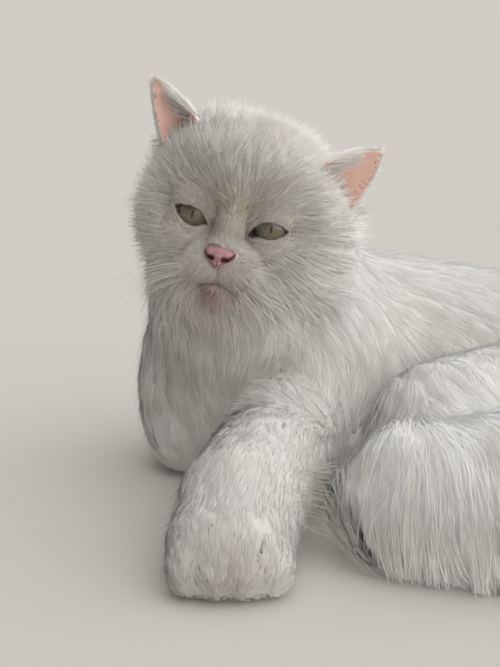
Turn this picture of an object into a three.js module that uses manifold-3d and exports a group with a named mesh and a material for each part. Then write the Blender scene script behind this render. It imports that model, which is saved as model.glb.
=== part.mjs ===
// A Persian cat lying down, its left foreleg stretched out in front, life size.
// Millimetres, +Z up. The solids go out to the tips of the coat. They are parted
// by thin cuts where a body is named: head, neck, chest, trunk, rump, legs and tail.
// x runs to the cat's left, y from its face to its back, z up from the floor.
import * as THREE from 'three';
import { mergeVertices } from 'three/addons/utils/BufferGeometryUtils.js';
import Module from 'manifold-3d';

const wasm = await Module();
wasm.setup();

// ---------------------------------------------------------------- driving dimensions
const EYE_HEIGHT = 160;                 // the point midway between the eyes, above the floor
const HEAD_ROLL = 12, HEAD_TURN = 8, HEAD_LIFT = 4;   // degrees
const EYE_RADIUS = 11.5, EYE_APART = 45, EYE_DEPTH = 9.5;
const LID_WIDTH = 21.5, LID_HEIGHT = 11.5, LID_SLANT = 17;
const NOSE_WIDTH = 17, NOSE_HEIGHT = 12;
const GAP = 0.3;                        // between neighbouring solids
const MIDDLE = [141, 17, 0];            // floor point under the middle of the whole, in the modelling axes

// ---------------------------------------------------------------- small vector helpers
const add = (a, b) => [a[0] + b[0], a[1] + b[1], a[2] + b[2]];
const sub = (a, b) => [a[0] - b[0], a[1] - b[1], a[2] - b[2]];
const mul = (a, s) => [a[0] * s, a[1] * s, a[2] * s];
const dot = (a, b) => a[0] * b[0] + a[1] * b[1] + a[2] * b[2];
const cross = (a, b) => [a[1] * b[2] - a[2] * b[1], a[2] * b[0] - a[0] * b[2], a[0] * b[1] - a[1] * b[0]];
const len = (a) => Math.sqrt(dot(a, a));
const unit = (a) => mul(a, 1 / len(a));
const smooth = (a, b, x) => { const t = Math.min(Math.max((x - a) / (b - a), 0), 1); return t * t * (3 - 2 * t); };

// ---------------------------------------------------------------- the head's own axes
const rad = Math.PI / 180;
const headTurn = new THREE.Matrix4().makeRotationZ(-HEAD_TURN * rad)
  .multiply(new THREE.Matrix4().makeRotationX(HEAD_LIFT * rad))
  .multiply(new THREE.Matrix4().makeRotationY(HEAD_ROLL * rad));
const e = headTurn.elements;
const HX = [e[0], e[1], e[2]], HY = [e[4], e[5], e[6]], HZ = [e[8], e[9], e[10]];
const H = (x, y, z) => add([0, 0, EYE_HEIGHT], add(mul(HX, x), add(mul(HY, y), mul(HZ, z))));
const XYZ = [[1, 0, 0], [0, 1, 0], [0, 0, 1]];

// ---------------------------------------------------------------- masses of flesh and coat
// Each mass is a rounded form of flesh with a depth of coat on it. k is how softly it runs
// into the masses before it.
const masses = [];
const ell = (part, at, r, coat, k, axes = XYZ) => masses.push({ part, at, r, coat: [coat, coat], k, axes });
const cone = (part, a, b, ra, rb, coat, k) => masses.push({ part, a, b, ra, rb, coat: Array.isArray(coat) ? coat : [coat, coat], k });
const hell = (at, r, coat, k) => ell('head', H(...at), r, coat, k, [HX, HY, HZ]);

hell([-1, 42, 17], [47, 42, 33], 11, 10);               // cranium
hell([0, 22, 24], [33, 22, 20], 9, 12);                 // forehead
const CHEEKS = [[-1, -26, 22, 9], [1, 33, 23, 19]];     // the cat's right cheek is pressed flatter
for (const [s, x, r, coat] of CHEEKS) {
  hell([x, 32, -8], [r, 28, 26], coat, 14);             // cheek
  hell([s * 22, 9, 13], [13, 9, 8], 4, 8);              // brow
  hell([s * 24, 9, -14], [15, 12, 10], 6, 8);           // cheek bone
  hell([s * 9.5, -4, -26], [11.5, 10, 9], 4, 6);        // whisker pad
}
hell([0, 8, -22], [19, 18, 14], 5, 8);                  // muzzle
cone('head', H(0, 4, 4), H(0, -7, -13), 8, 6.5, 3, 6);  // bridge of the nose
hell([3, -1, -41], [12, 11, 9], 7, 6);                  // chin
hell([3, 26, -35], [32, 26, 17], 14, 12);               // jaw

cone('neck', H(2, 52, -15), [46, 88, 86], 34, 42, [18, 20], 16);
ell('bib', [2, 46, 106], [36, 30, 26], 18, 16);
ell('chest', [2, 66, 62], [38, 38, 46], 20, 20);
ell('chest', [58, 74, 70], [34, 36, 38], 20, 18);       // left shoulder
ell('chest', [-20, 86, 58], [22, 32, 38], 16, 18);      // right shoulder
ell('trunk', [108, 112, 64], [62, 46, 52], 20, 24);     // ribs
ell('trunk', [175, 116, 57], [60, 50, 48], 20, 24);     // belly
ell('rump', [234, 92, 50], [52, 54, 43], 20, 24);       // loin
ell('rump', [264, 40, 42], [42, 48, 38], 20, 24);       // croup

cone('foreL', [52, 60, 64], [38, 22, 36], 26, 20, 17, 14);
cone('foreL', [38, 22, 36], [6, -90, 25], 18, 15.5, 17, 8);
const pawTurn = -8 * rad;
ell('pawL', [2, -115, 17], [22, 25, 15], 9, 10, [[Math.cos(pawTurn), Math.sin(pawTurn), 0], [-Math.sin(pawTurn), Math.cos(pawTurn), 0], [0, 0, 1]]);
for (let i = 0; i < 4; i++) ell('pawL', [-16 + i * 12, -137 + (i === 0 || i === 3 ? 3 : 0), 12], [6.8, 10, 9], 5, 4);  // toes

cone('foreR', [-26, 84, 74], [-32, 64, 34], 20, 16, 13, 14);
cone('foreR', [-32, 70, 26], [-29, 46, 24], 15, 13, 12, 8);
ell('pawR', [-12, 54, 12], [14, 20, 10], 8, 8);

cone('thighL', [228, 42, 38], [124, -30, 37], 40, 31, 20, 16);
ell('thighL', [206, -16, 26], [42, 30, 18], 14, 16);     // feathering of the thigh
cone('shankL', [118, -42, 36], [165, -62, 22], 20, 13, 14, 10);
cone('footL', [160, -62, 16], [96, -66, 13], 12, 13, 9, 8);
cone('thighR', [240, 70, 34], [150, 20, 28], 34, 22, 14, 14);
cone('footR', [150, 22, 20], [84, 10, 14], 15, 12, 9, 10);

// tail, laid round to the front: x, y, z, radius of bone and flesh, depth of coat
const TAIL = [[294, 14, 42, 15, 22], [303, -32, 38, 12, 28], [282, -73, 33, 11, 34], [236, -94, 29, 10, 37],
  [188, -99, 27, 9, 38], [142, -98, 26, 8, 38], [96, -92, 23, 6, 36]];
for (let i = 0; i + 1 < TAIL.length; i++) {
  const a = TAIL[i], b = TAIL[i + 1];
  cone('tail', a.slice(0, 3), b.slice(0, 3), a[3], b[3], [a[4], b[4]], 3);
}

// The coat is short round the eyes, the nose and the mouth.
const BARE = [[H(-EYE_APART / 2, 2, 0), 11, 42], [H(EYE_APART / 2, 2, 0), 11, 42], [H(0, -9, -18), 7, 34], [H(2, -8, -34), 8, 30]];
function coatShare(p) {
  let m = 1;
  for (const [c, r0, r1] of BARE) m = Math.min(m, smooth(r0, r1, len(sub(p, c))));
  return 0.22 + 0.78 * m;
}

function distance(m, p, share) {
  if (m.at) {
    const q = sub(p, m.at), v = m.axes.map((ax) => dot(ax, q));
    const k0 = Math.hypot(v[0] / m.r[0], v[1] / m.r[1], v[2] / m.r[2]) + 1e-9;
    const k1 = Math.hypot(v[0] / m.r[0] ** 2, v[1] / m.r[1] ** 2, v[2] / m.r[2] ** 2) + 1e-9;
    return k0 * (k0 - 1) / k1 - share * m.coat[0];
  }
  const ab = sub(m.b, m.a), ap = sub(p, m.a);
  const t = Math.min(Math.max(dot(ap, ab) / dot(ab, ab), 0), 1);
  return len(sub(ap, mul(ab, t))) - (m.ra + (m.rb - m.ra) * t) - share * (m.coat[0] + (m.coat[1] - m.coat[0]) * t);
}

function form(list, p) {
  const share = p[2] > 90 && p[1] < 60 ? coatShare(p) : 1;
  let d = null;
  for (const m of list) {
    const w = distance(m, p, share);
    if (d === null) { d = w; continue; }
    const h = Math.max(m.k - Math.abs(d - w), 0) / m.k;
    d = Math.min(d, w) - h * h * m.k / 4;
  }
  return d;
}

// ---------------------------------------------------------------- closed solids
function toSolid(geometry) {
  const g = geometry.clone();
  for (const name of Object.keys(g.attributes)) if (name !== 'position') g.deleteAttribute(name);
  const m = mergeVertices(g, 1e-5);
  return new wasm.Manifold(new wasm.Mesh({
    numProp: 3,
    vertProperties: new Float32Array(m.attributes.position.array),
    triVerts: new Uint32Array(m.index.array),
  }));
}

function toGeometry(solid) {
  const mesh = solid.simplify(0.24).getMesh();   // slivers left by the cuts go
  const g = new THREE.BufferGeometry();
  const pos = new Float32Array(mesh.numVert * 3);
  for (let i = 0; i < mesh.numVert; i++) for (let j = 0; j < 3; j++) pos[3 * i + j] = mesh.vertProperties[i * mesh.numProp + j];
  g.setAttribute('position', new THREE.BufferAttribute(pos, 3));
  g.setIndex(new THREE.BufferAttribute(new Uint32Array(mesh.triVerts), 1));
  return g;
}

const largest = (solid) => {
  const bodies = solid.decompose();
  return bodies.length < 2 ? solid : bodies.sort((a, b) => b.volume() - a.volume())[0];
};

// A form of the named masses, seen from a middle inside it: the corners of a ball of
// triangles move out along their rays to the surface, or some way past the planes that end it.
function bulk({ parts, middle, stretch = [1, 1, 1], axes = XYZ, detail, ends = [], past = 22 }, grow = 0) {
  const list = masses.filter((m) => parts.includes(m.part));
  const g = new THREE.IcosahedronGeometry(1, detail);
  const pos = g.attributes.position, memo = new Map();
  const inside = (p) => {
    let d = form(list, p) - grow;
    for (const [point, normal] of ends) d = Math.max(d, dot(sub(p, point), normal) - past);
    return Math.max(d, -p[2] - 14);
  };
  for (let i = 0; i < pos.count; i++) {
    const key = [pos.getX(i), pos.getY(i), pos.getZ(i)].map((c) => Math.round(c * 1e4)).join();
    if (!memo.has(key)) {
      const b = [pos.getX(i) * stretch[0], pos.getY(i) * stretch[1], pos.getZ(i) * stretch[2]];
      const ray = unit(add(mul(axes[0], b[0]), add(mul(axes[1], b[1]), mul(axes[2], b[2]))));
      let lo = 0, hi = 1.5;
      while (inside(add(middle, mul(ray, hi))) < 0 && hi < 260) { lo = hi; hi += 1.5; }
      for (let n = 0; n < 22; n++) { const mid = (lo + hi) / 2; if (inside(add(middle, mul(ray, mid))) < 0) lo = mid; else hi = mid; }
      memo.set(key, add(middle, mul(ray, hi)));
    }
    pos.setXYZ(i, ...memo.get(key));
  }
  let solid = toSolid(g);
  for (const [point, normal] of ends) solid = solid.subtract(block(add(point, mul(normal, grow)), normal));
  return solid.subtract(block([0, 0, -grow], [0, 0, -1]));
}

// Everything beyond a plane: a large box whose near face lies in it.
function block(point, normal, size = 900) {
  const g = new THREE.BoxGeometry(size, size, size);
  g.translate(0, 0, size / 2);
  g.applyQuaternion(new THREE.Quaternion().setFromUnitVectors(new THREE.Vector3(0, 0, 1), new THREE.Vector3(...normal).normalize()));
  g.translate(...point);
  return toSolid(g);
}

function intoHead(g) {
  const m = headTurn.clone();
  m.setPosition(0, 0, EYE_HEIGHT);
  return g.applyMatrix4(m);
}

const ends = (point, normal) => [point, unit(normal)];
const back = ([point, normal]) => [add(point, mul(normal, GAP)), mul(normal, -1)];

// ---------------------------------------------------------------- where the body is parted
const NAPE = ends([16, 64, 110], [0.3, 0.4, -0.866]);          // head from neck
const THROAT = ends([24, 66, 84], [0.3, 0.3, -0.9]);           // neck from chest
const WITHERS = ends([84, 90, 70], [1, 0.12, 0]);              // chest from trunk
const LOIN = ends([206, 90, 60], [1, -0.3, 0]);                // trunk from rump
const ELBOW = ends([36, 14, 36], [-0.26, -0.96, 0]);           // upper arm from forearm
const WRIST = ends([6, -88, 24], [0, -1, 0]);                  // forearm from paw
const TAIL_CUT_1 = ends([268, -82, 40], [-0.85, -0.5, 0]), TAIL_CUT_2 = ends([176, -95, 40], [-1, 0.06, 0]);

const piece = {
  head: { parts: ['head', 'neck'], middle: H(1, 36, 0), detail: 7, ends: [NAPE] },
  neck: { parts: ['neck', 'bib', 'chest'], middle: [20, 62, 97], stretch: [1, 1, 0.6], detail: 3, ends: [THROAT] },
  chest: { parts: ['neck', 'bib', 'chest', 'trunk'], middle: [22, 76, 50], stretch: [1, 0.9, 0.7], detail: 3, ends: [back(THROAT), WITHERS] },
  trunk: { parts: ['chest', 'trunk', 'rump'], middle: [145, 114, 55], stretch: [1, 1, 0.8], detail: 3, ends: [back(WITHERS), LOIN] },
  rump: { parts: ['trunk', 'rump'], middle: [250, 66, 42], stretch: [1, 1.1, 0.7], detail: 3, ends: [back(LOIN)] },
  upperL: { parts: ['foreL'], middle: [45, 38, 48], detail: 3, ends: [ELBOW], past: 14 },
  forearmL: { parts: ['foreL'], middle: [22, -36, 30], stretch: [0.6, 1, 0.6], detail: 3, ends: [back(ELBOW), WRIST], past: 14 },
  pawL: { parts: ['foreL', 'pawL'], middle: [2, -114, 15], stretch: [1, 0.9, 0.6], detail: 4, ends: [back(WRIST)], past: 14 },
  legR: { parts: ['foreR', 'pawR'], middle: [-27, 64, 30], stretch: [0.8, 0.8, 1], detail: 2 },
  thighL: { parts: ['thighL'], middle: [176, 6, 34], stretch: [1, 0.8, 0.5], axes: [unit([0.82, 0.57, 0]), unit([-0.57, 0.82, 0]), [0, 0, 1]], detail: 4 },
  footL: { parts: ['shankL', 'footL'], middle: [130, -60, 18], stretch: [1, 0.5, 0.5], detail: 2 },
  legRear: { parts: ['thighR', 'footR'], middle: [170, 36, 24], stretch: [1, 0.6, 0.5], detail: 2 },
  tailBase: { parts: ['tail'], middle: [296, -34, 37], stretch: [0.7, 1, 0.8], detail: 3, ends: [TAIL_CUT_1], past: 12 },
  tailMiddle: { parts: ['tail'], middle: [224, -95, 30], stretch: [1, 0.8, 0.8], detail: 3, ends: [back(TAIL_CUT_1), TAIL_CUT_2] },
  tailTip: { parts: ['tail'], middle: [132, -97, 28], stretch: [1, 0.8, 0.8], detail: 3, ends: [back(TAIL_CUT_2)] },
};
const made = {};
const solid = (name) => (made[name] ??= bulk(piece[name]));
const cutter = (name) => bulk(piece[name], GAP);
const minus = (name, ...others) => largest(others.reduce((s, o) => s.subtract(typeof o === 'string' ? cutter(o) : o), solid(name)));

// ---------------------------------------------------------------- eyes, lids, nose and ears
const eyePlace = (s) => [s * EYE_APART / 2, EYE_DEPTH, 0];
const eyeBall = (s, r) => toSolid(intoHead(new THREE.IcosahedronGeometry(r, 2).translate(...eyePlace(s))));

// The slit between the lids, as an almond pushed through the face.
function almond(s) {
  const shape = new THREE.Shape(), w = LID_WIDTH / 2, up = LID_HEIGHT * 0.5, down = LID_HEIGHT * 0.5;
  shape.moveTo(-w, 0);
  shape.quadraticCurveTo(0, 2 * up, w, 0);
  shape.quadraticCurveTo(0, -2 * down, -w, 0);
  const g = new THREE.ExtrudeGeometry(shape, { depth: 40, bevelEnabled: false, curveSegments: 5 });
  g.rotateX(Math.PI / 2);                                // pushed along -y, out of the face
  g.rotateY(-s * LID_SLANT * rad);
  g.translate(s * EYE_APART / 2, EYE_DEPTH, 0);
  return toSolid(intoHead(g));
}

// The bare nose: a rounded wedge, wide above and narrow below, with a furrow down its middle.
function nose(grow = 0) {
  const g = new THREE.IcosahedronGeometry(1, 2), pos = g.attributes.position;
  for (let i = 0; i < pos.count; i++) {
    const x = pos.getX(i), y = pos.getY(i), z = pos.getZ(i);
    const wide = 0.36 + 0.64 * smooth(-0.9, 0.35, z);
    const furrow = y < 0 ? 0.9 * Math.exp(-((x / 0.16) ** 2)) * (1 - z * z) : 0;
    pos.setXYZ(i, x * wide * (NOSE_WIDTH / 2 + grow), -11 + y * (7 + grow) + furrow - 1.2 * z, -18 + z * (NOSE_HEIGHT / 2 + grow));
  }
  return toSolid(intoHead(g));
}

// An ear: a cupped leaf between its tip and the two ends of its base, open to the front.
const EARS = {
  right: { tip: [-65.5, 27, 69], inner: [-34.5, 17, 54], outer: [-49, 21, 28] },
  left: { tip: [74.5, 28, 55], inner: [41, 18, 42], outer: [63, 22, 13.5] },
};
const EAR_CUP = 10, EAR_THICK = 2.6, EAR_ROOT = 0.3;
function ear({ tip, inner, outer }) {
  const base = mul(add(inner, outer), 0.5), up = sub(tip, base);
  const half = mul(sub(outer, inner), 0.5), across = half[0] > 0 ? mul(half, -1) : half;
  const into = unit(cross(across, up));                  // towards the back of the ear
  const g = new THREE.SphereGeometry(1, 16, 10), pos = g.attributes.position;
  for (let i = 0; i < pos.count; i++) {
    const h = pos.getY(i), ring = Math.sqrt(Math.max(1 - h * h, 0));
    const s = ring > 1e-6 ? pos.getX(i) / ring : 0, n = ring > 1e-6 ? pos.getZ(i) / ring : 0;
    const w = -EAR_ROOT + (1 + EAR_ROOT) * (1 - Math.acos(h) / Math.PI);          // 0 at the base, 1 at the tip
    const wide = ring < 1e-6 ? 0 : Math.max(Math.pow(Math.max(1 - w, 0), 0.8) * (1 + 0.25 * w), 0) * smooth(-EAR_ROOT, -EAR_ROOT + 0.2, w);
    const thick = EAR_THICK * (ring < 1e-6 ? 0 : 0.45 + 0.55 * (1 - w)) * Math.min(1, wide * 4);
    const cup = EAR_CUP * (1 - s * s) * Math.pow(Math.max(1 - w, 0), 0.7) * (wide > 0 ? 1 : 0);
    const p = add(base, add(mul(up, w), add(mul(across, s * wide), mul(into, cup + n * thick))));
    pos.setXYZ(i, ...p);
  }
  return toSolid(intoHead(g));
}

// ---------------------------------------------------------------- the face, parted
// An oval plug pushed into the face, as wide as the muzzle or the chin.
function plug(x, z, rx, rz, deep, grow = 0) {
  const g = new THREE.CylinderGeometry(1, 1, 60, 16);
  g.scale(rx + grow, 1, rz + grow);
  g.translate(x, deep - 30 + grow, z);
  return toSolid(intoHead(g));
}
const MOUTH = H(0, 0, -33.2);
const lips = (grow) => plug(0, -25, 20.5, 12, 12, grow), jawTip = (grow) => plug(2.5, -41, 19, 17, 12, grow);
const above = (s) => s.subtract(block(MOUTH, mul(HZ, -1))), below = (s) => s.subtract(block(add(MOUTH, mul(HZ, -GAP)), HZ));
const face = () => solid('head').subtract(nose(GAP));
const muzzle = () => largest(above(face().intersect(lips(0))));
const chin = () => largest(below(solid('head').intersect(jawTip(0))));
function head() {
  let s = face().subtract(lips(GAP)).subtract(below(jawTip(GAP)));
  for (const side of [-1, 1]) s = s.subtract(eyeBall(side, EYE_RADIUS + GAP)).subtract(almond(side));
  return largest(s);
}
const earOf = (side) => largest(ear(EARS[side]).subtract(cutter('head')));

// ---------------------------------------------------------------- materials
const fur = new THREE.MeshStandardMaterial({ color: 0xebe8e3, roughness: 0.95, metalness: 0 });
const skinPink = new THREE.MeshStandardMaterial({ color: 0xd79a95, roughness: 0.6, metalness: 0 });
const earFur = new THREE.MeshStandardMaterial({ color: 0xe8d3cb, roughness: 0.9, metalness: 0 });
const iris = new THREE.MeshStandardMaterial({ color: 0x6b6650, roughness: 0.12, metalness: 0 });

const cat = new THREE.Group();
function put(name, s, material) {
  const g = toGeometry(s);
  g.translate(-MIDDLE[0], -MIDDLE[1], -MIDDLE[2]);
  const mesh = new THREE.Mesh(g, material);
  mesh.name = name;
  cat.add(mesh);
}

put('head', head(), fur);
put('muzzle', muzzle(), fur);
put('chin', chin(), fur);
put('nose', nose(), skinPink);
put('eye_right', eyeBall(-1, EYE_RADIUS), iris);
put('eye_left', eyeBall(1, EYE_RADIUS), iris);
put('ear_right', earOf('right'), earFur);
put('ear_left', earOf('left'), earFur);
put('neck', minus('neck', 'head'), fur);
put('foreleg_left_upper', minus('upperL', 'neck'), fur);
put('foreleg_left_forearm', minus('forearmL', 'neck'), fur);
put('forepaw_left', solid('pawL'), fur);
put('foreleg_right', minus('legR', 'neck', 'upperL', 'forearmL'), fur);
put('chest', minus('chest', 'upperL', 'forearmL', 'legR', 'head'), fur);
put('hind_leg_left_thigh', solid('thighL'), fur);
put('hind_leg_left_foot', minus('footL', 'thighL'), fur);
put('hind_leg_right', minus('legRear', 'thighL', 'upperL', 'forearmL', 'chest', 'trunk', 'rump'), fur);
put('trunk', minus('trunk', 'neck', 'thighL', 'upperL'), fur);
put('rump', minus('rump', 'thighL', 'tailBase', 'tailMiddle'), fur);
put('tail_base', minus('tailBase', 'thighL', 'footL'), fur);
put('tail_middle', minus('tailMiddle', 'thighL', 'footL'), fur);
put('tail_tip', minus('tailTip', 'thighL', 'footL', 'legRear', 'forearmL'), fur);

export default cat;
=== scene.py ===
"""A white Persian cat lying down, life size: skin, coat, eyes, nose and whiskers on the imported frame.

Lengths are in millimetres in the modelling axes (x to the cat's left, y from face to back, z up, origin on
the floor under the eyes) until a mesh is made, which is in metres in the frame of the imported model.
"""

import math
import time

import bpy
import numpy as np
from mathutils import Matrix, Vector
from mathutils.bvhtree import BVHTree
from mathutils.kdtree import KDTree


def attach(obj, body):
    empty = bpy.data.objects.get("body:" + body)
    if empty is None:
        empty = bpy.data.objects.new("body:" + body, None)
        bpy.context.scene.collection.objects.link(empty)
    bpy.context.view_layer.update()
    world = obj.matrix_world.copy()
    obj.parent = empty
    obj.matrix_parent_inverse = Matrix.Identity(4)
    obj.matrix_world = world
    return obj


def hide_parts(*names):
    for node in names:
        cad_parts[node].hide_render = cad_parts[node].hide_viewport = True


T0 = time.perf_counter()
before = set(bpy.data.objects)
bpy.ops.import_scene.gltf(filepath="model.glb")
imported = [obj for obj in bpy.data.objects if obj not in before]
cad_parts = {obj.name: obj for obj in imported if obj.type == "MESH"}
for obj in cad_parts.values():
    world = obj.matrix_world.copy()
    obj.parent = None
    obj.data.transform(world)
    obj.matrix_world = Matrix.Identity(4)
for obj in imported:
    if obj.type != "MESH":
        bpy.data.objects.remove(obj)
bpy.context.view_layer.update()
f32 = np.float32


def note(what):
    print("%6.1f s  %s" % (time.perf_counter() - T0, what), flush=True)


# ------------------------------------------------------------------ axes
MIDDLE = np.array([141.0, 17.0, 0.0])
EYE_MID = np.array([0.0, 0.0, 160.0])
EYE_R, EYE_X, EYE_Y = 11.5, 22.5, 9.5


def turn(axis, deg):
    c, s = math.cos(math.radians(deg)), math.sin(math.radians(deg))
    return np.array({"x": [[1, 0, 0], [0, c, -s], [0, s, c]], "y": [[c, 0, s], [0, 1, 0], [-s, 0, c]],
                     "z": [[c, -s, 0], [s, c, 0], [0, 0, 1]]}[axis], float)


HEAD = turn("z", -8) @ turn("x", 4) @ turn("y", 12)      # its columns are the head's own axes


def H(x, y, z):
    return EYE_MID + HEAD @ np.array([x, y, z], float)


def to_head(p):
    return (p - EYE_MID) @ HEAD


def from_head(p):
    return p @ HEAD.T + EYE_MID


def out(p):
    """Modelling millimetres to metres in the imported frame."""
    return (np.asarray(p, float) - MIDDLE) / 1000


def smooth(a, b, x):
    t = np.clip((x - a) / (b - a), 0, 1)
    return t * t * (3 - 2 * t)


def unit(v):
    v = np.asarray(v, float)
    return v / (np.linalg.norm(v, axis=-1, keepdims=True) + 1e-9)


def smin(a, b, k):
    h = np.maximum(k - np.abs(a - b), 0) / k
    return np.minimum(a, b) - h * h * k * 0.25


def smax(a, b, k):
    return -smin(-a, -b, k)


# ------------------------------------------------------------------ masses of flesh and coat, as in the solids
MASSES = []


def ell(part, at, r, coat, k, lie=None, axes=None):
    MASSES.append(dict(part=part, at=np.array(at, float), r=np.array(r, float), coat=(coat, coat), k=k, lie=lie,
                       axes=np.eye(3) if axes is None else np.array(axes, float)))


def cone(part, a, b, ra, rb, coat, k, lie=None):
    MASSES.append(dict(part=part, a=np.array(a, float), b=np.array(b, float), ra=ra, rb=rb, k=k, lie=lie,
                       coat=tuple(coat) if isinstance(coat, (list, tuple)) else (coat, coat)))


def hell(at, r, coat, k):
    ell("head", H(*at), r, coat, k, "head", HEAD.T)


hell([-1, 42, 17], [47, 42, 33], 11, 10)
hell([0, 22, 24], [33, 22, 20], 9, 12)
for s, x, r, c in ((-1, -26, 22, 9), (1, 33, 23, 19)):
    hell([x, 32, -8], [r, 28, 26], c, 14)
    hell([s * 22, 9, 13], [13, 9, 8], 4, 8)
    hell([s * 24, 9, -14], [15, 12, 10], 6, 8)
    hell([s * 9.5, -4, -26], [11.5, 10, 9], 4, 6)
hell([0, 8, -22], [19, 18, 14], 5, 8)
cone("head", H(0, 4, 4), H(0, -7, -13), 8, 6.5, 3, 6, "head")
hell([3, -1, -41], [12, 11, 9], 7, 6)
hell([3, 26, -35], [32, 26, 17], 14, 12)

# lie: the way the hair runs, in the modelling axes; the part of it along the surface counts
cone("neck", H(2, 52, -15), [46, 88, 86], 34, 42, [18, 20], 16, (0.35, 0.25, -0.9))
ell("bib", [2, 46, 106], [36, 30, 26], 18, 16, (0.05, -0.25, -1))
ell("chest", [2, 66, 62], [38, 38, 46], 20, 20, (0.1, -0.2, -1))
ell("chest", [58, 74, 70], [34, 36, 38], 20, 18, (0.55, -0.35, -0.75))
ell("chest", [-20, 86, 58], [22, 32, 38], 16, 18, (-0.2, 0.1, -1))
ell("trunk", [108, 112, 64], [62, 46, 52], 20, 24, (0.95, 0.05, -0.75))
ell("trunk", [175, 116, 57], [60, 50, 48], 20, 24, (1, -0.05, -0.75))
ell("rump", [234, 92, 50], [52, 54, 43], 20, 24, (0.75, -0.5, -0.75))
ell("rump", [264, 40, 42], [42, 48, 38], 20, 24, (0.3, -0.8, -0.8))
cone("foreL", [52, 60, 64], [38, 22, 36], 26, 20, 17, 14, (-0.1, -0.75, -0.5))
cone("foreL", [38, 22, 36], [6, -90, 25], 18, 15.5, 17, 8, (-0.27, -1, -0.25))
PAW = turn("z", -8)
ell("pawL", [2, -115, 17], [22, 25, 15], 9, 10, (-0.08, -1, -0.35), PAW.T)
for i in range(4):
    ell("pawL", [-16 + i * 12, -137 + (3 if i in (0, 3) else 0), 12], [6.8, 10, 9], 5, 4, (-0.05, -1, -0.5))
cone("foreR", [-26, 84, 74], [-32, 64, 34], 20, 16, 13, 14, (-0.1, -0.3, -1))
cone("foreR", [-32, 70, 26], [-29, 46, 24], 15, 13, 12, 8, (0.1, -1, -0.4))
ell("pawR", [-12, 54, 12], [14, 20, 10], 8, 8, (0.5, -0.8, -0.4))
cone("thighL", [228, 42, 38], [124, -30, 37], 40, 31, 20, 16, (0.30, -0.65, -0.65))
ell("thighL", [206, -16, 26], [42, 30, 18], 14, 16, (0.1, -0.8, -0.6))
cone("shankL", [118, -42, 36], [165, -62, 22], 20, 13, 14, 10, (0.3, -0.6, -0.8))
cone("footL", [160, -62, 16], [96, -66, 13], 12, 13, 9, 8, (-1, -0.1, -0.3))
cone("thighR", [240, 70, 34], [150, 20, 28], 34, 22, 14, 14, (-0.8, -0.4, -0.4))
cone("footR", [150, 22, 20], [84, 10, 14], 15, 12, 9, 10, (-1, -0.1, -0.3))
TAIL = [(294, 14, 42, 15, 22), (303, -32, 38, 12, 28), (282, -73, 33, 11, 34), (236, -94, 29, 10, 37),
        (188, -99, 27, 9, 38), (142, -98, 26, 8, 38), (96, -92, 23, 6, 36)]
for a, b in zip(TAIL, TAIL[1:]):
    cone("tail", a[:3], b[:3], a[3], b[3], (a[4], b[4]), 3, "tail")

BARE = [(H(-EYE_X, 2, 0), 11, 42), (H(EYE_X, 2, 0), 11, 42), (H(0, -9, -18), 7, 34), (H(2, -8, -34), 8, 30)]


def axis_extent(m, coat):
    c = max(m["coat"]) if coat else 0
    if "at" in m:
        e = np.sqrt(((m["axes"] * m["r"][:, None]) ** 2).sum(0)) + c
        return m["at"] - e, m["at"] + e
    ra, rb = m["ra"] + c, m["rb"] + c
    return np.minimum(m["a"] - ra, m["b"] - rb), np.maximum(m["a"] + ra, m["b"] + rb)


def mass_distance(m, X, Y, Z):
    """Distance from the flesh of one mass, and how far along it the nearest point is."""
    if "at" in m:
        dx, dy, dz = X - f32(m["at"][0]), Y - f32(m["at"][1]), Z - f32(m["at"][2])
        k0 = k1 = 0
        for ax, r in zip(m["axes"], m["r"]):
            q = (f32(ax[0] / r) * dx + f32(ax[1] / r) * dy) + f32(ax[2] / r) * dz
            q = q * q
            k0 = k0 + q
            k1 = k1 + q * f32(1 / (r * r))
        k0 = np.sqrt(k0)
        return k0 * (k0 - 1) / (np.sqrt(k1) + f32(1e-6)), f32(0)
    a, ab = m["a"], m["b"] - m["a"]
    n = ab @ ab
    dx, dy, dz = X - f32(a[0]), Y - f32(a[1]), Z - f32(a[2])
    t = np.clip((f32(ab[0] / n) * dx + f32(ab[1] / n) * dy) + f32(ab[2] / n) * dz, 0, 1)
    d = np.sqrt((dx - t * f32(ab[0])) ** 2 + (dy - t * f32(ab[1])) ** 2 + (dz - t * f32(ab[2])) ** 2)
    return d - (f32(m["ra"]) + f32(m["rb"] - m["ra"]) * t), t


def coat_share(X, Y, Z):
    m = f32(1)
    for c, r0, r1 in BARE:
        d = np.sqrt((X - f32(c[0])) ** 2 + (Y - f32(c[1])) ** 2 + (Z - f32(c[2])) ** 2)
        m = np.minimum(m, smooth(f32(r0), f32(r1), d))
    near = (Z > 90) & (Y < 60)
    return np.where(near, f32(0.22) + f32(0.78) * m, f32(1)).astype(f32)


def cut(axis, lo, hi):
    i, j = np.searchsorted(axis, [lo, hi])
    return slice(max(i - 1, 0), min(j + 1, len(axis)))


def grid_axes(xs, ys, zs):
    return xs[:, None, None], ys[None, :, None], zs[None, None, :]


def field(xs, ys, zs, coat):
    """Distance from the flesh, or from the outline of the coat, on a grid. It is only right near the surface and inside."""
    D = np.full((len(xs), len(ys), len(zs)), 40, f32)
    share = np.ones(D.shape, f32) if coat else None
    if coat:
        b = (slice(None), cut(ys, -400, 62), cut(zs, 88, 400))
        share[b] = coat_share(*grid_axes(xs, ys[b[1]], zs[b[2]]))
    for m in MASSES:
        lo, hi = axis_extent(m, coat)
        pad = m["k"] + 12
        b = tuple(cut(ax, l - pad, h + pad) for ax, l, h in zip((xs, ys, zs), lo, hi))
        if any(s.start >= s.stop for s in b):
            continue
        d, t = mass_distance(m, *grid_axes(xs[b[0]], ys[b[1]], zs[b[2]]))
        if coat:
            d = d - share[b] * (f32(m["coat"][0]) + f32(m["coat"][1] - m["coat"][0]) * t)
        D[b] = smin(D[b], d, f32(m["k"]))
    return D


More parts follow.
